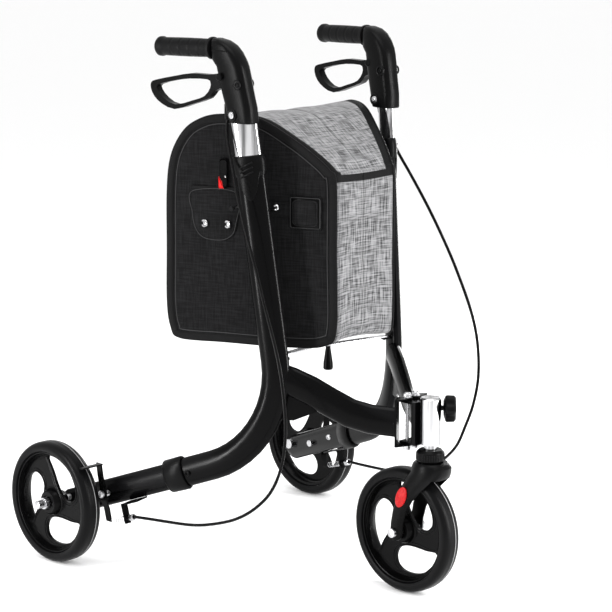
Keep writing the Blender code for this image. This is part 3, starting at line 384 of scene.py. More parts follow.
def place(name, mesh, paint, smooth_angle=40.0):
    """Add a mesh to the scene with a material, smooth up to an angle."""
    mesh.materials.clear()
    mesh.materials.append(PAINTS[paint])
    mesh.shade_smooth()
    mesh.set_sharp_from_angle(angle=math.radians(smooth_angle))
    made = bpy.data.objects.new(name, mesh)
    bpy.context.scene.collection.objects.link(made)
    return made


def settle(item, body, replaced=()):
    """Fix a finished piece to its body and hide the CAD parts it replaces."""
    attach(item, body)
    if replaced:
        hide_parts(*replaced)
    return item


def mesh_from(work, name):
    """Turn finished working geometry into a mesh."""
    mesh = bpy.data.meshes.new(name)
    work.to_mesh(mesh)
    work.free()
    return mesh


def loft_mesh(name, rings, closed=False):
    """Join rings of equal length into one skin, capped unless it is closed."""
    work = bmesh.new()
    loops = [[work.verts.new(point) for point in points] for points in rings]
    pairs = list(zip(loops, loops[1:]))
    if closed:
        pairs.append((loops[-1], loops[0]))
    for first, second in pairs:
        for index in range(len(first)):
            after = (index + 1) % len(first)
            work.faces.new((first[index], first[after], second[after], second[index]))
    if not closed:
        work.faces.new(list(reversed(loops[0])))
        work.faces.new(loops[-1])
    bmesh.ops.recalc_face_normals(work, faces=work.faces[:])
    return mesh_from(work, name)


def round_ring(centre, side, other, radius, count):
    """Return the points of a circle."""
    points = []
    for index in range(count):
        angle = 2.0 * math.pi * index / count
        points.append(centre + side * radius * math.cos(angle)
                      + other * radius * math.sin(angle))
    return points


def lathe_mesh(name, profile, origin, axis, count, closed=False):
    """Turn (distance along the axis, radius) steps round an axis."""
    axis = axis.normalized()
    side = ALONG_Y.copy() if abs(axis.x) > 0.9 else axis.orthogonal().normalized()
    other = axis.cross(side)
    rings = [round_ring(origin + axis * reach, side, other, radius, count)
             for reach, radius in profile]
    return loft_mesh(name, rings, closed)


def tube_mesh(name, points, radius, sides=12, closed=False):
    """Sweep a circle along a line of points, without twist."""
    rings = []
    side = None
    count = len(points)
    for index, point in enumerate(points):
        if closed:
            heading = points[(index + 1) % count] - points[index - 1]
        else:
            heading = points[min(index + 1, count - 1)] - points[max(index - 1, 0)]
        heading = heading.normalized()
        if side is None:
            side = heading.orthogonal().normalized()
        side = (side - heading * side.dot(heading)).normalized()
        rings.append(round_ring(point, side, heading.cross(side), radius, sides))
    return loft_mesh(name, rings, closed)


def smooth_line(points, spacing, closed=False):
    """Return a smooth curve through points, sampled about evenly."""
    points = [Vector(point) for point in points]
    count = len(points)
    made = []
    for index in range(count if closed else count - 1):
        if closed:
            before, start, end, after = (points[(index + shift) % count]
                                         for shift in (-1, 0, 1, 2))
        else:
            before = points[max(index - 1, 0)]
            start = points[index]
            end = points[index + 1]
            after = points[min(index + 2, count - 1)]
        steps = max(1, round((end - start).length / spacing))
        for step in range(steps):
            t = step / steps
            made.append(0.5 * (2.0 * start + (end - before) * t
                               + (2.0 * before - 5.0 * start + 4.0 * end - after) * t ** 2
                               + (3.0 * start - before - 3.0 * end + after) * t ** 3))
    if not closed:
        made.append(points[-1])
    return made


def mirror_mesh(mesh, name):
    """Return a copy of a mesh mirrored across X = 0."""
    made = mesh.copy()
    made.name = name
    made.transform(Matrix.Scale(-1.0, 4, ALONG_X))
    made.flip_normals()
    return made


def pair(name, mesh, paint, body, replaced=()):
    """Place a left piece and its mirror image; body and nodes are named without a side."""
    made = []
    for side in ("left", "right"):
        shape = mesh if side == "left" else mirror_mesh(mesh, name)
        item = place(side + "_" + name, shape, paint)
        nodes = [side + "_" + node for node in replaced]
        made.append(settle(item, side + "_" + body, nodes))
    return made


def apply_modifiers(item):
    """Turn an object's modifiers into mesh."""
    bpy.context.view_layer.update()
    graph = bpy.context.evaluated_depsgraph_get()
    mesh = bpy.data.meshes.new_from_object(item.evaluated_get(graph))
    item.modifiers.clear()
    item.data = mesh


# --------------------------------------------------------------- camera

def camera():
    right = CAMERA_RIGHT.normalized()
    back = (CAMERA_BACK - right * CAMERA_BACK.dot(right)).normalized()
    up = back.cross(right)
    made = bpy.data.objects.new("camera", bpy.data.cameras.new("camera"))
    bpy.context.scene.collection.objects.link(made)
    turn = Matrix((right, up, back)).transposed().to_4x4()
    made.matrix_world = Matrix.Translation(CAMERA_PLACE) @ turn
    made.data.lens = CAMERA_LENS
    made.data.sensor_width = 36.0
    made.data.clip_end = 60.0
    bpy.context.scene.camera = made


# ---------------------------------------------------------------- cables

def brake_cables():
    """Both brake cables, swept along one route and mirrored."""
    line = smooth_line(CABLE_ROUTE, 0.010)
    for side, sign in (("left", 1.0), ("right", -1.0)):
        path = [Vector((point.x * sign, point.y, point.z)) for point in line]
        mesh = tube_mesh(side + "_cable", path, CABLE_DIAMETER / 2.0)
        item = place(side + "_cable", mesh, "black_plastic")
        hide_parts(side + "_brake_cable")
        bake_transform(item)


def cable_ferrules():
    """Bright ends where each cable meets its stop."""
    axis = BARREL_REAR - BARREL_FRONT
    profile = ((0.0006, 0.0052), (0.0010, 0.0058), (0.0086, 0.0058), (0.0090, 0.0054))
    mesh = lathe_mesh("cable_ferrule", profile, BARREL_FRONT, axis, 6)
    pair("cable_ferrule", mesh, "bright_steel", "frame")


# ---------------------------------------------------------------- wheels

TYRE_PROFILE = (
    (-0.0124, 0.0839), (-0.0160, 0.0850), (-0.0172, 0.0880), (-0.0172, 0.0925),
    (-0.0160, 0.0955), (-0.0138, 0.0978), (-0.0105, 0.0992), (-0.0078, 0.0998),
    (-0.0062, 0.1000), (-0.0058, 0.0994), (-0.0050, 0.0994), (-0.0046, 0.1000),
    (0.0046, 0.1000), (0.0062, 0.1000), (0.0078, 0.0998), (0.0105, 0.0992),
    (0.0138, 0.0978), (0.0160, 0.0955), (0.0172, 0.0925), (0.0172, 0.0880),
    (0.0160, 0.0850), (0.0124, 0.0839))
RIM_PROFILE = (
    (-0.0165, 0.0063), (-0.0165, 0.0140), (-0.0150, 0.0155), (-0.0010, 0.0190),
    (0.0000, 0.0200), (0.0000, 0.0755), (-0.0110, 0.0785), (-0.0120, 0.0795),
    (-0.0120, 0.0834), (0.0130, 0.0834), (0.0135, 0.0825), (0.0130, 0.0812),
    (0.0112, 0.0806), (0.0116, 0.0796), (0.0100, 0.0790), (0.0086, 0.0788),
    (0.0088, 0.0777), (0.0070, 0.0772), (0.0058, 0.0768), (0.0060, 0.0756),
    (0.0046, 0.0750), (0.0046, 0.0735), (0.0052, 0.0730), (0.0052, 0.0722),
    (0.0046, 0.0716), (0.0046, 0.0250), (0.0056, 0.0240), (0.0060, 0.0225),
    (0.0150, 0.0190), (0.0165, 0.0175), (0.0165, 0.0120), (0.0148, 0.0112),
    (0.0148, 0.0063))
WINDOW = ((0.0170, -0.0460), (0.0110, -0.0330), (-0.0020, -0.0265), (-0.0200, -0.0245),
          (-0.0450, -0.0255), (-0.0660, -0.0245), (-0.0700, -0.0320), (-0.0620, -0.0450),
          (-0.0450, -0.0600), (-0.0240, -0.0675), (-0.0020, -0.0675), (0.0130, -0.0600))
WINDOW_COUNT = 3
RIM_FACE = 0.0046
STRIPE_PROFILE = ((-0.0059, 0.0992), (-0.0059, 0.0998), (-0.0049, 0.0998), (-0.0049, 0.0992))


def rim_mesh():
    """One rim facing +X at the origin: turned, windowed, two ribs round each window."""
    body = place("rim", lathe_mesh("rim", RIM_PROFILE, Vector(), ALONG_X, WHEEL_STEPS, True),
                 "rim_plastic")
    loop = smooth_line([Vector((0.0, -a, b)) for a, b in WINDOW], 0.004, True)
    ribs = []
    for turn in range(WINDOW_COUNT):
        spin = Matrix.Rotation(math.radians(-360.0 / WINDOW_COUNT * turn), 3, ALONG_X)
        outline = [spin @ point for point in loop]
        rings = [[point + ALONG_X * reach for point in outline] for reach in (-0.03, 0.03)]
        cutter = place("cutter", loft_mesh("cutter", rings), "rim_plastic")
        cut = body.modifiers.new("window", "BOOLEAN")
        cut.solver = "EXACT"
        cut.object = cutter
        cut.operation = "DIFFERENCE"
        apply_modifiers(body)
        bpy.data.objects.remove(cutter, do_unlink=True)
        middle = sum(outline, Vector()) / len(outline)
        for spread, thickness in ((0.0016, 0.0013), (0.0062, 0.0009)):
            line = [point + (point - middle).normalized() * spread + ALONG_X * RIM_FACE
                    for point in outline]
            ribs.append(tube_mesh("rib", line, thickness, 8, True))
    work = bmesh.new()
    work.from_mesh(body.data)
    for rib in ribs:
        work.from_mesh(rib)
    bpy.data.objects.remove(body, do_unlink=True)
    return mesh_from(work, "rim")


def wheels():
    """Three wheels of the same moulding; the rear ones face outward."""
    tyre = lathe_mesh("tyre", TYRE_PROFILE, Vector(), ALONG_X, WHEEL_STEPS, True)
    stripe = lathe_mesh("tyre_line", STRIPE_PROFILE, Vector(), ALONG_X, WHEEL_STEPS, True)
    rim = rim_mesh()
    mirrored_axle = Vector((-REAR_AXLE.x, REAR_AXLE.y, REAR_AXLE.z))
    for name, centre, turn, node in (("front", FRONT_AXLE, math.pi, "front"),
                                     ("left", REAR_AXLE, 0.0, "left_rear"),
                                     ("right", mirrored_axle, math.pi, "right_rear")):
        where = Matrix.Translation(centre) @ Matrix.Rotation(turn, 4, UP)
        for part, mesh, paint, slot, replaced in (
                ("tyre_tread", tyre, "tyre_rubber", "tyre_rubber", [node + "_tyre"]),
                ("rim_face", rim, "rim_plastic", "rim_plastic", [node + "_rim"]),
                ("tyre_stripe", stripe, "tyre_line", "tyre_rubber", [])):
            shape = mesh.copy()
            shape.transform(where)
            item = place(name + "_" + part, shape, paint, 35.0)
            settle(item, name + "_wheel", replaced)


# ------------------------------------------------------------------- bag

BAG_OUTLINE = ((-0.0055, 0.6460), (-0.0060, 0.5300), (-0.0060, 0.4150), (0.0130, 0.3880),
               (0.0760, 0.3815), (0.1820, 0.3820), (0.2590, 0.3830), (0.2750, 0.4000),
               (0.2810, 0.4430), (0.2800, 0.5300), (0.2790, 0.6200), (0.2720, 0.6750),
               (0.2520, 0.7140), (0.2250, 0.7350), (0.1870, 0.7450), (0.1230, 0.7410),
               (0.0650, 0.7110), (0.0260, 0.6840), (0.0050, 0.6650))
BAG_MIDDLE = Vector((0.140, 0.560, 0.0))
PANEL_HEM = 0.0200
PANEL_FACE = 0.0018


def bag_edge(spacing=0.006):
    """Return the bag's outline as (a, b, 0) points, rounded at its corners."""
    corners = [Vector((a, b, 0.0)) for a, b in BAG_OUTLINE]
    return smooth_line(corners, spacing, True)


def inset(loop, distance):
    """Move a closed loop inwards by a distance."""
    count = len(loop)
    made = []
    for index, point in enumerate(loop):
        heading = (loop[(index + 2) % count] - loop[index - 2]).normalized()
        inward = Vector((-heading.y, heading.x, 0.0))
        if inward.dot(BAG_MIDDLE - point) < 0.0:
            inward = -inward
        made.append(point + inward * distance)
    return made


def add_uv(mesh, flat):
    """Give a mesh texture coordinates in metres, one pair for each vertex."""
    layer = mesh.uv_layers.new(name="cloth")
    for loop in mesh.loops:
        layer.data[loop.index].uv = flat[loop.vertex_index]


def pillow(a, b):
    """Return how far the stiffened panel swells and ripples."""
    swell = (0.0016 * math.cos((a - BAG_MIDDLE.x) * 9.0)
             * math.cos((b - BAG_MIDDLE.y) * 7.0))
    return swell + 0.0011 * noise.noise(Vector((a * 14.0, b * 11.0, 0.3)))


def bag_panels():
    """Stiffened side panels, with cloth that swells inside a sewn edge."""
    edge = bag_edge()
    steps = ((0.0, -BAG_HALF_THICKNESS), (0.0, 0.0005), (0.0130, 0.0012), (0.0145, 0.0004),
             (0.0170, 0.0014), (PANEL_HEM, PANEL_FACE))
    rings = []
    flat = []
    for distance, proud in steps:
        loop = inset(edge, distance)
        rings.append([bag_point(p.x, p.y, proud) for p in loop])
        flat.extend((p.x, p.y) for p in loop)
    last = inset(edge, PANEL_HEM)
    for share in (0.90, 0.78, 0.65, 0.52, 0.39, 0.26, 0.13, 0.03):
        loop = [BAG_MIDDLE + (p - BAG_MIDDLE) * share for p in last]
        rings.append([bag_point(p.x, p.y, PANEL_FACE + pillow(p.x, p.y) * (1.0 - share))
                      for p in loop])
        flat.extend((p.x, p.y) for p in loop)
    mesh = loft_mesh("bag_side", rings)
    add_uv(mesh, flat)
    for item in pair("bag_side", mesh, "black_cloth", "frame", ["bag_panel"]):
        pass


def bag_bindings():
    """Wide ribbed tape round each panel, and the row of stitches inside it."""
    edge = bag_edge()
    steps = ((-0.0004, -0.0006), (-0.0005, 0.0012), (0.0004, 0.0022), (0.0030, 0.0028),
             (0.0080, 0.0027), (0.0108, 0.0022), (BINDING_WIDTH, 0.0012),
             (BINDING_WIDTH - 0.001, 0.0002))
    rings = []
    flat = []
    run = 0.0
    runs = []
    for index, point in enumerate(edge):
        run += (point - edge[index - 1]).length
        runs.append(run)
    for distance, proud in steps:
        loop = inset(edge, distance)
        rings.append([bag_point(p.x, p.y, proud) for p in loop])
        flat.extend((reach, distance) for reach in runs)
    mesh = loft_mesh("bag_binding", rings, True)
    add_uv(mesh, flat)
    pair("bag_binding", mesh, "binding_tape", "frame")
    line = [bag_point(p.x, p.y, 0.0013) for p in inset(edge, 0.0152)]
    pair("bag_stitching", tube_mesh("bag_stitching", line, 0.0007, 6, True), "stitch_thread",
         "frame")


GUSSET_STEPS = 16
CLOTH_GAP = 0.0002
CLOTH_THICKNESS = 0.0012
LID_START = 0.655
SEAM_HEIGHT = 0.007
SEAM_REACH = 0.05
ZIP_WIDTH = 0.013


def sag(point, share):
    """Return how far the bag's cloth hangs inwards between the panels and wrinkles."""
    slack = math.sin(math.pi * share * 0.5)
    wrinkle = noise.noise(Vector((point.x * 16.0, point.y * 12.0, point.z * 16.0)))
    return (0.005 + 0.0032 * wrinkle) * slack


def gusset_rows(edge):
    """Return a row of points for each point of the edge, from the panel to X = 0."""
    centre = bag_point(BAG_MIDDLE.x, BAG_MIDDLE.y)
    rows = []
    for corner in edge:
        start = bag_point(corner.x, corner.y, -BAG_HALF_THICKNESS - CLOTH_GAP)
        inward = Vector((0.0, centre.y - start.y, centre.z - start.z)).normalized()
        first = ZIP_WIDTH / start.x
        row = []
        for step in range(GUSSET_STEPS + 1):
            share = first + (1.0 - first) * (step - 1) / (GUSSET_STEPS - 1) if step else 0.0
            point = Vector((start.x * (1.0 - share), start.y, start.z))
            row.append(point + inward * sag(point, share))
        rows.append(row)
    return rows


def gusset_mesh(name, edge, runs, sign):
    """Return one half of the bag's middle, and whether each face is zip or seam."""
    work = bmesh.new()
    layer = work.loops.layers.uv.new("cloth")
    flat = {}
    grid = []
    for run, points in zip(runs, gusset_rows(edge)):
        row = []
        for point in points:
            vert = work.verts.new(Vector((point.x * sign, point.y, point.z)))
            flat[vert] = (point.x, run)
            row.append(vert)
        grid.append(row)
    dark = []
    for index, corner in enumerate(edge):
        after = (index + 1) % len(edge)
        height = 0.5 * (corner.y + edge[after].y)
        lid = height > LID_START
        seam = abs(height - LID_START) < 0.5 * SEAM_HEIGHT and corner.x < SEAM_REACH
        for step in range(GUSSET_STEPS):
            face = work.faces.new((grid[index][step], grid[after][step],
                                   grid[after][step + 1], grid[index][step + 1]))
            dark.append((lid and step == 0) or seam)
            for loop in face.loops:
                u, v = flat[loop.vert]
                if after == 0 and loop.vert in grid[0]:
                    v = runs[-1]
                loop[layer].uv = (u, v)
    bmesh.ops.recalc_face_normals(work, faces=work.faces[:])
    return mesh_from(work, name), dark


def bag_middles():
    """The heather cloth between the panels, in two halves that meet at X = 0."""
    edge = bag_edge(0.005)
    runs = [0.0]
    for start, end in zip(edge, edge[1:] + edge[:1]):
        runs.append(runs[-1] + (end - start).length)
    for side, sign in (("left", 1.0), ("right", -1.0)):
        mesh, dark = gusset_mesh(side + "_bag_middle", edge, runs, sign)
        item = place(side + "_bag_middle", mesh, "heather_cloth", 60.0)
        mesh.materials.append(PAINTS["binding_tape"])
        for face, is_dark in zip(mesh.polygons, dark):
            face.material_index = int(is_dark)
        thick = item.modifiers.new("cloth", "SOLIDIFY")
        thick.thickness = CLOTH_THICKNESS
        thick.offset = -1.0
        apply_modifiers(item)
        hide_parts("bag_gusset")
        normal = outboard(BAG_ANGLE)
        normal.x *= sign
        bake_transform(item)


PATCH_CORNER_STEPS = 5
STITCH_SHARE = 0.93


def rounded_patch(low, high, corner):
    """Return a rounded rectangle as (a, b) points."""
    points = []
    for index, (x, y) in enumerate(((high[0] - corner, high[1] - corner),
                                    (low[0] + corner, high[1] - corner),
                                    (low[0] + corner, low[1] + corner),
                                    (high[0] - corner, low[1] + corner))):
        for step in range(PATCH_CORNER_STEPS + 1):
            angle = math.radians(90.0 * index + 90.0 * step / PATCH_CORNER_STEPS)
            points.append((x + corner * math.cos(angle), y + corner * math.sin(angle)))
    return points


def layer_mesh(name, outline, base, thickness):
    """A soft-edged layer of cloth or plastic lying on the panel."""
    middle = Vector((sum(a for a, _ in outline), sum(b for _, b in outline))) / len(outline)
    rings = []
    flat = []
    for shrink, proud in ((0.0, base), (0.0, base + thickness * 0.6),
                          (0.0010, base + thickness), (0.0022, base + thickness * 0.75),
                          (0.0034, base + thickness)):
        points = []
        for a, b in outline:
            inward = (middle - Vector((a, b))).normalized() * shrink
            points.append((a + inward.x, b + inward.y))
        rings.append([bag_point(a, b, proud) for a, b in points])
        flat.extend(points)
    mesh = loft_mesh(name, rings)
    add_uv(mesh, flat)
    return mesh


def inset_points(outline):
    """Return an outline of (a, b) points drawn in towards its middle."""
    middle_a = sum(a for a, _ in outline) / len(outline)
    middle_b = sum(b for _, b in outline) / len(outline)
    return [(middle_a + (a - middle_a) * STITCH_SHARE, middle_b + (b - middle_b) * STITCH_SHARE)
            for a, b in outline]


def bag_pockets():
    """Flap with its hem, strap and two snaps, and the square patch with its pad."""
    flap = ((0.2360, 0.6260), (0.2360, 0.5880), (0.2320, 0.5660), (0.2220, 0.5510),
            (0.2060, 0.5450), (0.1820, 0.5450), (0.1660, 0.5530), (0.1580, 0.5700),
            (0.1550, 0.6260))
    hem = rounded_patch((0.1530, 0.6240), (0.2380, 0.6310), 0.0025)
    strap = rounded_patch((0.0600, 0.5890), (0.1580, 0.6120), 0.0020)
    patch = rounded_patch((0.0180, 0.5715), (0.0700, 0.6225), 0.0030)
    puff = rounded_patch((0.0235, 0.5770), (0.0645, 0.6170), 0.0060)
    for name, outline, base, thickness, paint in (
            ("bag_flap", flap, 0.0030, 0.0022, "black_cloth"),
            ("bag_pocket_hem", hem, 0.0028, 0.0016, "binding_tape"),
            ("bag_strap", strap, 0.0028, 0.0012, "black_cloth"),
            ("bag_patch", patch, 0.0030, 0.0024, "black_plastic"),
            ("bag_patch_puff", puff, 0.0050, 0.0030, "black_cloth")):
        pair(name, layer_mesh(name, outline, base, thickness), paint, "frame")
    for name, outline, proud in (("flap", flap, 0.0054), ("patch", patch, 0.0056)):
        line = smooth_line([bag_point(a, b, proud) for a, b in inset_points(outline)], 0.003,
                           True)
        pair(f"bag_{name}_stitches", tube_mesh("stitches", line, 0.0005, 6, True),
             "stitch_thread", "frame")
    for index, (a, b) in enumerate(((0.2135, 0.5720), (0.1742, 0.5724))):
        snap = lathe_mesh("snap", ((0.0048, 0.0070), (0.0062, 0.0074), (0.0072, 0.0066),
                                   (0.0070, 0.0046), (0.0058, 0.0040), (0.0064, 0.0020)),
                          bag_point(a, b), outboard(BAG_ANGLE), 24)
        pair(f"snap_{index}", snap, "chrome", "frame")


def bag_clip():
    """Strap with its side-release clip and the red button."""
    strap = rounded_patch((0.1730, 0.6290), (0.1860, 0.6770), 0.0040)
    pair("clip_body", layer_mesh("clip_body", strap, 0.0032, 0.0050), "black_plastic",
         "frame")
    button = ((0.1875, 0.6480), (0.1875, 0.6290), (0.1790, 0.6290), (0.1815, 0.6400))
    pair("clip_button", layer_mesh("clip_button", button, 0.0040, 0.0060), "red_plastic",
         "frame")
    rivet = lathe_mesh("clip_rivet", ((0.0070, 0.0020), (0.0088, 0.0020), (0.0094, 0.0012)),
                       bag_point(0.1765, 0.6480), outboard(BAG_ANGLE), 16)
    pair("clip_rivet", rivet, "chrome", "frame")


PIN_REACHES = (0.362, 0.302)
PIN_HEIGHT = 0.603


def frame_pins():
    """Black shafts with chrome heads that hold each panel to its frame tube."""
    for index, reach in enumerate(PIN_REACHES):
        along = FRAME_START + flat_direction(FRAME_ANGLE) * reach + UP * PIN_HEIGHT
        normal = outboard(BAG_ANGLE)
        gap = (along - BAG_START).dot(normal)
        start = along - normal * (gap - BAG_HALF_THICKNESS)
        head = ((0.0005, 0.0062), (0.0024, 0.0064), (0.0044, 0.0050), (0.0052, 0.0026))
        pair(f"frame_pin_{index}", lathe_mesh("frame_pin", head, start, normal, 20),
             "chrome", "frame")
        shaft = ((0.0053, 0.0026), (gap - 0.003, 0.0026), (gap - 0.002, 0.0040), (gap, 0.0040))
        pair(f"frame_pin_shaft_{index}", lathe_mesh("shaft", shaft, start, normal, 14),
             "black_plastic", "frame")


# --------------------------------------------------------- frame details

def round_head(centre, axis, radius, height):
    """Return a low domed bolt head with a socket."""
    profile = ((0.0, radius), (height * 0.45, radius), (height * 0.85, radius * 0.80),
               (height, radius * 0.50), (height * 0.55, radius * 0.42),
               (height * 0.50, radius * 0.10))
    return lathe_mesh("head", profile, centre, axis, 20)


SLEEVE_END = 0.115
SLEEVE_HALF_WIDTH = 0.0118
REAR_TUBE_HALF_WIDTH = 0.0099


def leg_rivets():
    """Heads on the sleeve's front edge, on both faces of each rear leg."""
    normal = outboard(REAR_ANGLE)
    for index, (reach, height, side, paint) in enumerate((
            (0.0900, 0.1715, 1.0, "black_plastic"),
            (0.1700, 0.1439, -1.0, "bright_steel"))):
        half_width = SLEEVE_HALF_WIDTH if reach < SLEEVE_END else REAR_TUBE_HALF_WIDTH
        centre = rear_leg_point(reach, height) + normal * half_width * side
        pair(f"leg_rivet_{index}", round_head(centre, normal * side, 0.0050, 0.0034), paint,
             "frame")


COLLAR_HALF_WIDTH = 0.0150
COLLAR_HALF_DEPTH = 0.0272
COLLAR_RIB_TOP = 0.6790
COLLAR_RIB_PITCH = 0.0072
COLLAR_RIB_HALF_LENGTH = 0.0105
COLLAR_RIB_DROP = 0.0104
COLLAR_RIB_STEPS = 8


def collar_grooves():
    """Three slanting raised ribs on the outboard face of each collar."""
    along = flat_direction(FRAME_ANGLE)
    normal = outboard(FRAME_ANGLE)
    for index in range(3):
        line = []
        for step in range(COLLAR_RIB_STEPS + 1):
            share = step / COLLAR_RIB_STEPS
            reach = COLLAR_RIB_HALF_LENGTH * (1.0 - 2.0 * share)
            level = COLLAR_RIB_TOP - COLLAR_RIB_PITCH * index - COLLAR_RIB_DROP * share
            bulge = COLLAR_HALF_WIDTH * math.sqrt(1.0 - (reach / COLLAR_HALF_DEPTH) ** 2)
            line.append(upright_point(level) - along * reach + normal * (bulge + 0.0003))
        pair(f"collar_groove_{index}", tube_mesh("groove", line, 0.0013, 8), "black_plastic",
             "frame")


SCREW_Y = -0.0572
SCREW_HEIGHT = 0.7972
HEAD_SINK = 0.0004
CAP_PROFILE = ((0.0002, 0.0058), (0.0028, 0.0058), (0.0038, 0.0046), (0.0036, 0.0032),
               (0.0034, 0.0005))
WELL_PROFILE = ((-0.0006, 0.0058), (0.0010, 0.0060), (0.0014, 0.0070), (0.0008, 0.0082),
                (-0.0006, 0.0084))
RING_PROFILE = ((-0.0006, 0.0064), (0.0012, 0.0068), (0.0016, 0.0080), (0.0010, 0.0092),
                (-0.0006, 0.0094))


def casing_details():
    """Bolt caps, screws and button rings on both faces of each casing, and its slot."""
    for face, sign in (("outer", 1.0), ("inner", -1.0)):
        normal = outboard(HANDLE_FLARE) * sign
        through = -2.0 * CASING_HALF_WIDTH if sign < 0.0 else 0.0
        pivot = LEVER_PIVOT + normal * CASING_HALF_WIDTH
        screw = casing_point(SCREW_Y, SCREW_HEIGHT, through)
        button = casing_point(BUTTON_CENTRE.y, BUTTON_CENTRE.z, through)
        for name, mesh in (
                ("cap", lathe_mesh("cap", CAP_PROFILE, pivot, normal, 24)),
                ("screw", round_head(screw - normal * HEAD_SINK, normal, 0.0040, 0.0016)),
                ("well", lathe_mesh("well", WELL_PROFILE, screw, normal, 24, True)),
                ("ring", lathe_mesh("ring", RING_PROFILE, button, normal, 28, True))):
            pair(f"casing_{name}_{face}", mesh, "black_plastic", "handle")
        if face == "inner":
            head = round_head(button - normal * HEAD_SINK, normal, 0.0056, 0.0030)
            pair("casing_rivet", head, "bright_steel", "handle")
    line = [casing_point(-0.0400 + 0.0290 * step / 8.0, 0.8478, 0.0007) for step in range(9)]
    pair("casing_slot", tube_mesh("casing_slot", line, 0.0014, 8), "recess", "handle")


def grips():
    """Rubber grips with a flange, finger rings and a flared end."""
    axis = GRIP_REAR - GRIP_FRONT
    length = axis.length
    profile = [(0.0, 0.0158), (0.0008, 0.0172), (0.0030, 0.0176), (0.0056, 0.0174),
               (0.0066, 0.0150)]
    for step in range(1, 44):
        reach = 0.0066 + (length - 0.0200) * step / 44.0
        radius = 0.0139 + 0.0008 * math.sin(math.pi * reach / length)
        if step % 9 == 8:
            radius -= 0.0007
        profile.append((reach, radius))
    profile += [(length - 0.0120, 0.0141), (length - 0.0070, 0.0156),
                (length - 0.0022, 0.0154), (length - 0.0004, 0.0140), (length, 0.0118)]
    mesh = lathe_mesh("grip_sleeve", profile, GRIP_FRONT, axis, 40)
    pair("grip_sleeve", mesh, "grip_rubber", "handle", ["grip"])


BEARING_RIB_COUNT = 36


def bearing_ribs():
    """Fine upright ribs round the bearing cap."""
    low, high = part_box("bearing_cap")
    middle = (low + high) / 2.0
    radius = (high.x - low.x) / 2.0
    work = bmesh.new()
    for index in range(BEARING_RIB_COUNT):
        angle = 2.0 * math.pi * index / BEARING_RIB_COUNT
        spoke = Vector((math.cos(angle), math.sin(angle), 0.0))
        line = [Vector((middle.x, middle.y, height)) + spoke * (radius - 0.0001)
                for height in (low.z + 0.0035, (low.z + high.z) / 2.0, high.z - 0.0055)]
        work.from_mesh(tube_mesh("rib", line, 0.0007, 6))
    mesh = mesh_from(work, "bearing_ribs")
    settle(place("bearing_ribs", mesh, "black_plastic"), "steering")


# ------------------------------------------------------------ frame nodes

SHARP_ANGLE = math.radians(34.0)


def smoothing_nodes():
    """Node group that welds a faceted part and shades it smooth up to an angle."""
    group = bpy.data.node_groups.new("smooth_by_angle", "GeometryNodeTree")
    group.interface.new_socket("Geometry", in_out="INPUT", socket_type="NodeSocketGeometry")
    group.interface.new_socket("Geometry", in_out="OUTPUT", socket_type="NodeSocketGeometry")
    start = group.nodes.new("NodeGroupInput")
    plain = group.nodes.new("GeometryNodeRemoveAttribute")
    plain.inputs["Name"].default_value = "custom_normal"
    weld = group.nodes.new("GeometryNodeMergeByDistance")
    weld.inputs["Distance"].default_value = 0.00001
    faces = group.nodes.new("GeometryNodeSetShadeSmooth")
    faces.domain = "FACE"
    angle = group.nodes.new("GeometryNodeInputMeshEdgeAngle")
    sharp = group.nodes.new("FunctionNodeCompare")
    sharp.operation = "GREATER_THAN"
    sharp.inputs["B"].default_value = SHARP_ANGLE
    edges = group.nodes.new("GeometryNodeSetShadeSmooth")
    edges.domain = "EDGE"
    edges.inputs["Shade Smooth"].default_value = False
    end = group.nodes.new("NodeGroupOutput")
    for first, second in ((start, plain), (plain, weld), (weld, faces), (faces, edges),
                          (edges, end)):
        group.links.new(first.outputs[0], second.inputs[0])
    group.links.new(angle.outputs["Unsigned Angle"], sharp.inputs["A"])
    group.links.new(sharp.outputs["Result"], edges.inputs["Selection"])
    return group


EASED_EDGES = {"black_plastic": 0.0009, "frame_paint": 0.0006, "bright_steel": 0.0003}


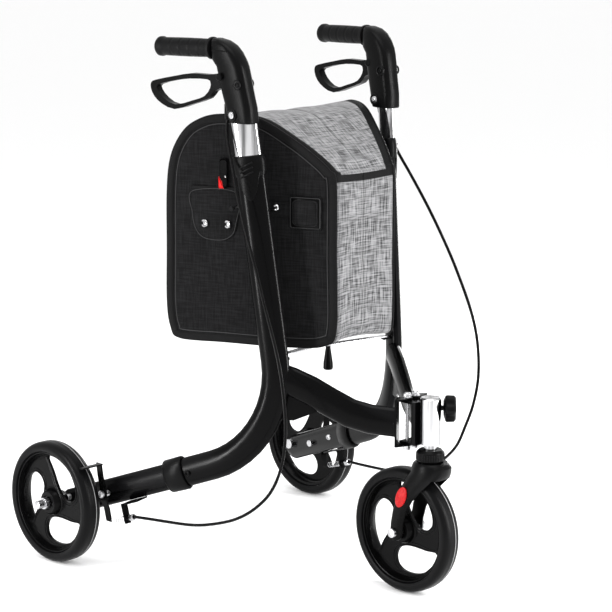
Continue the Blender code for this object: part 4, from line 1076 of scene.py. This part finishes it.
def finish_nodes():
    """Give each CAD part that still shows its material and soft edges."""
    smooth = smoothing_nodes()
    slots = {part["node"]: part["material_slot"] for part in frame["record"]["subparts"]}
    for name, item in frame["nodes"].items():
        if item.hide_render:
            continue
        paint = PAINTS[slots[name]]
        if item.material_slots:
            for holder in item.material_slots:
                holder.link = "OBJECT"
                holder.material = paint
        else:
            item.data.materials.append(paint)
        item.modifiers.new("smooth", "NODES").node_group = smooth
        if slots[name] in EASED_EDGES:
            ease = item.modifiers.new("ease", "BEVEL")
            ease.width = EASED_EDGES[slots[name]]
            ease.segments = 2
            ease.limit_method = "ANGLE"
            ease.angle_limit = SHARP_ANGLE
            ease.harden_normals = True


# ---------------------------------------------------------------- studio

def area_light(name, place_at, aim, size, power):
    """Add a soft rectangular light that faces a point."""
    data = bpy.data.lights.new(name, "AREA")
    data.shape = "RECTANGLE"
    data.size, data.size_y = size
    data.energy = power
    made = bpy.data.objects.new(name, data)
    bpy.context.scene.collection.objects.link(made)
    made.location = place_at
    made.rotation_mode = "QUATERNION"
    made.rotation_quaternion = (Vector(aim) - Vector(place_at)).to_track_quat("-Z", "Y")


FLOOR_DROP = 0.0004
STRIP_HEIGHT = 0.80
STRIP_LENGTH = 1.5


def studio():
    """Pale floor, pale surroundings, three upright strip lights and one overhead."""
    work = bmesh.new()
    bmesh.ops.create_grid(work, x_segments=1, y_segments=1, size=60.0)
    floor = place("floor", mesh_from(work, "floor"), "floor_paint")
    floor.location.z = -FLOOR_DROP
    world = bpy.data.worlds.new("studio")
    bpy.context.scene.world = world
    world.use_nodes = True
    sky = world.node_tree.nodes["Background"]
    sky.inputs["Color"].default_value = (1.0, 1.0, 1.0, 1.0)
    sky.inputs["Strength"].default_value = 1.0
    for name, turn, distance, width, power in (
            ("right_strip", -68.0, 1.7, 0.14, 40.0), ("left_strip", 62.0, 1.7, 0.12, 34.0),
            ("back_strip", 205.0, 2.2, 0.40, 20.0)):
        angle = CAMERA_AZIMUTH - math.radians(turn)
        aim = UP * STRIP_HEIGHT
        place_at = Vector((math.cos(angle), math.sin(angle), 0.0)) * distance + aim
        area_light(name, place_at, aim, (width, STRIP_LENGTH), power)
    area_light("top", (-0.3, -0.3, 2.6), (0.0, 0.0, 0.4), (1.4, 1.4), 26.0)
    bpy.context.scene.view_settings.view_transform = "Standard"


def build():
    camera()
    brake_cables()
    wheels()
    bag_panels()
    bag_bindings()
    bag_middles()
    bag_pockets()
    bag_clip()
    frame_pins()
    grips()
    casing_details()
    collar_grooves()
    leg_rivets()
    cable_ferrules()
    bearing_ribs()
    finish_nodes()
    studio()


build()
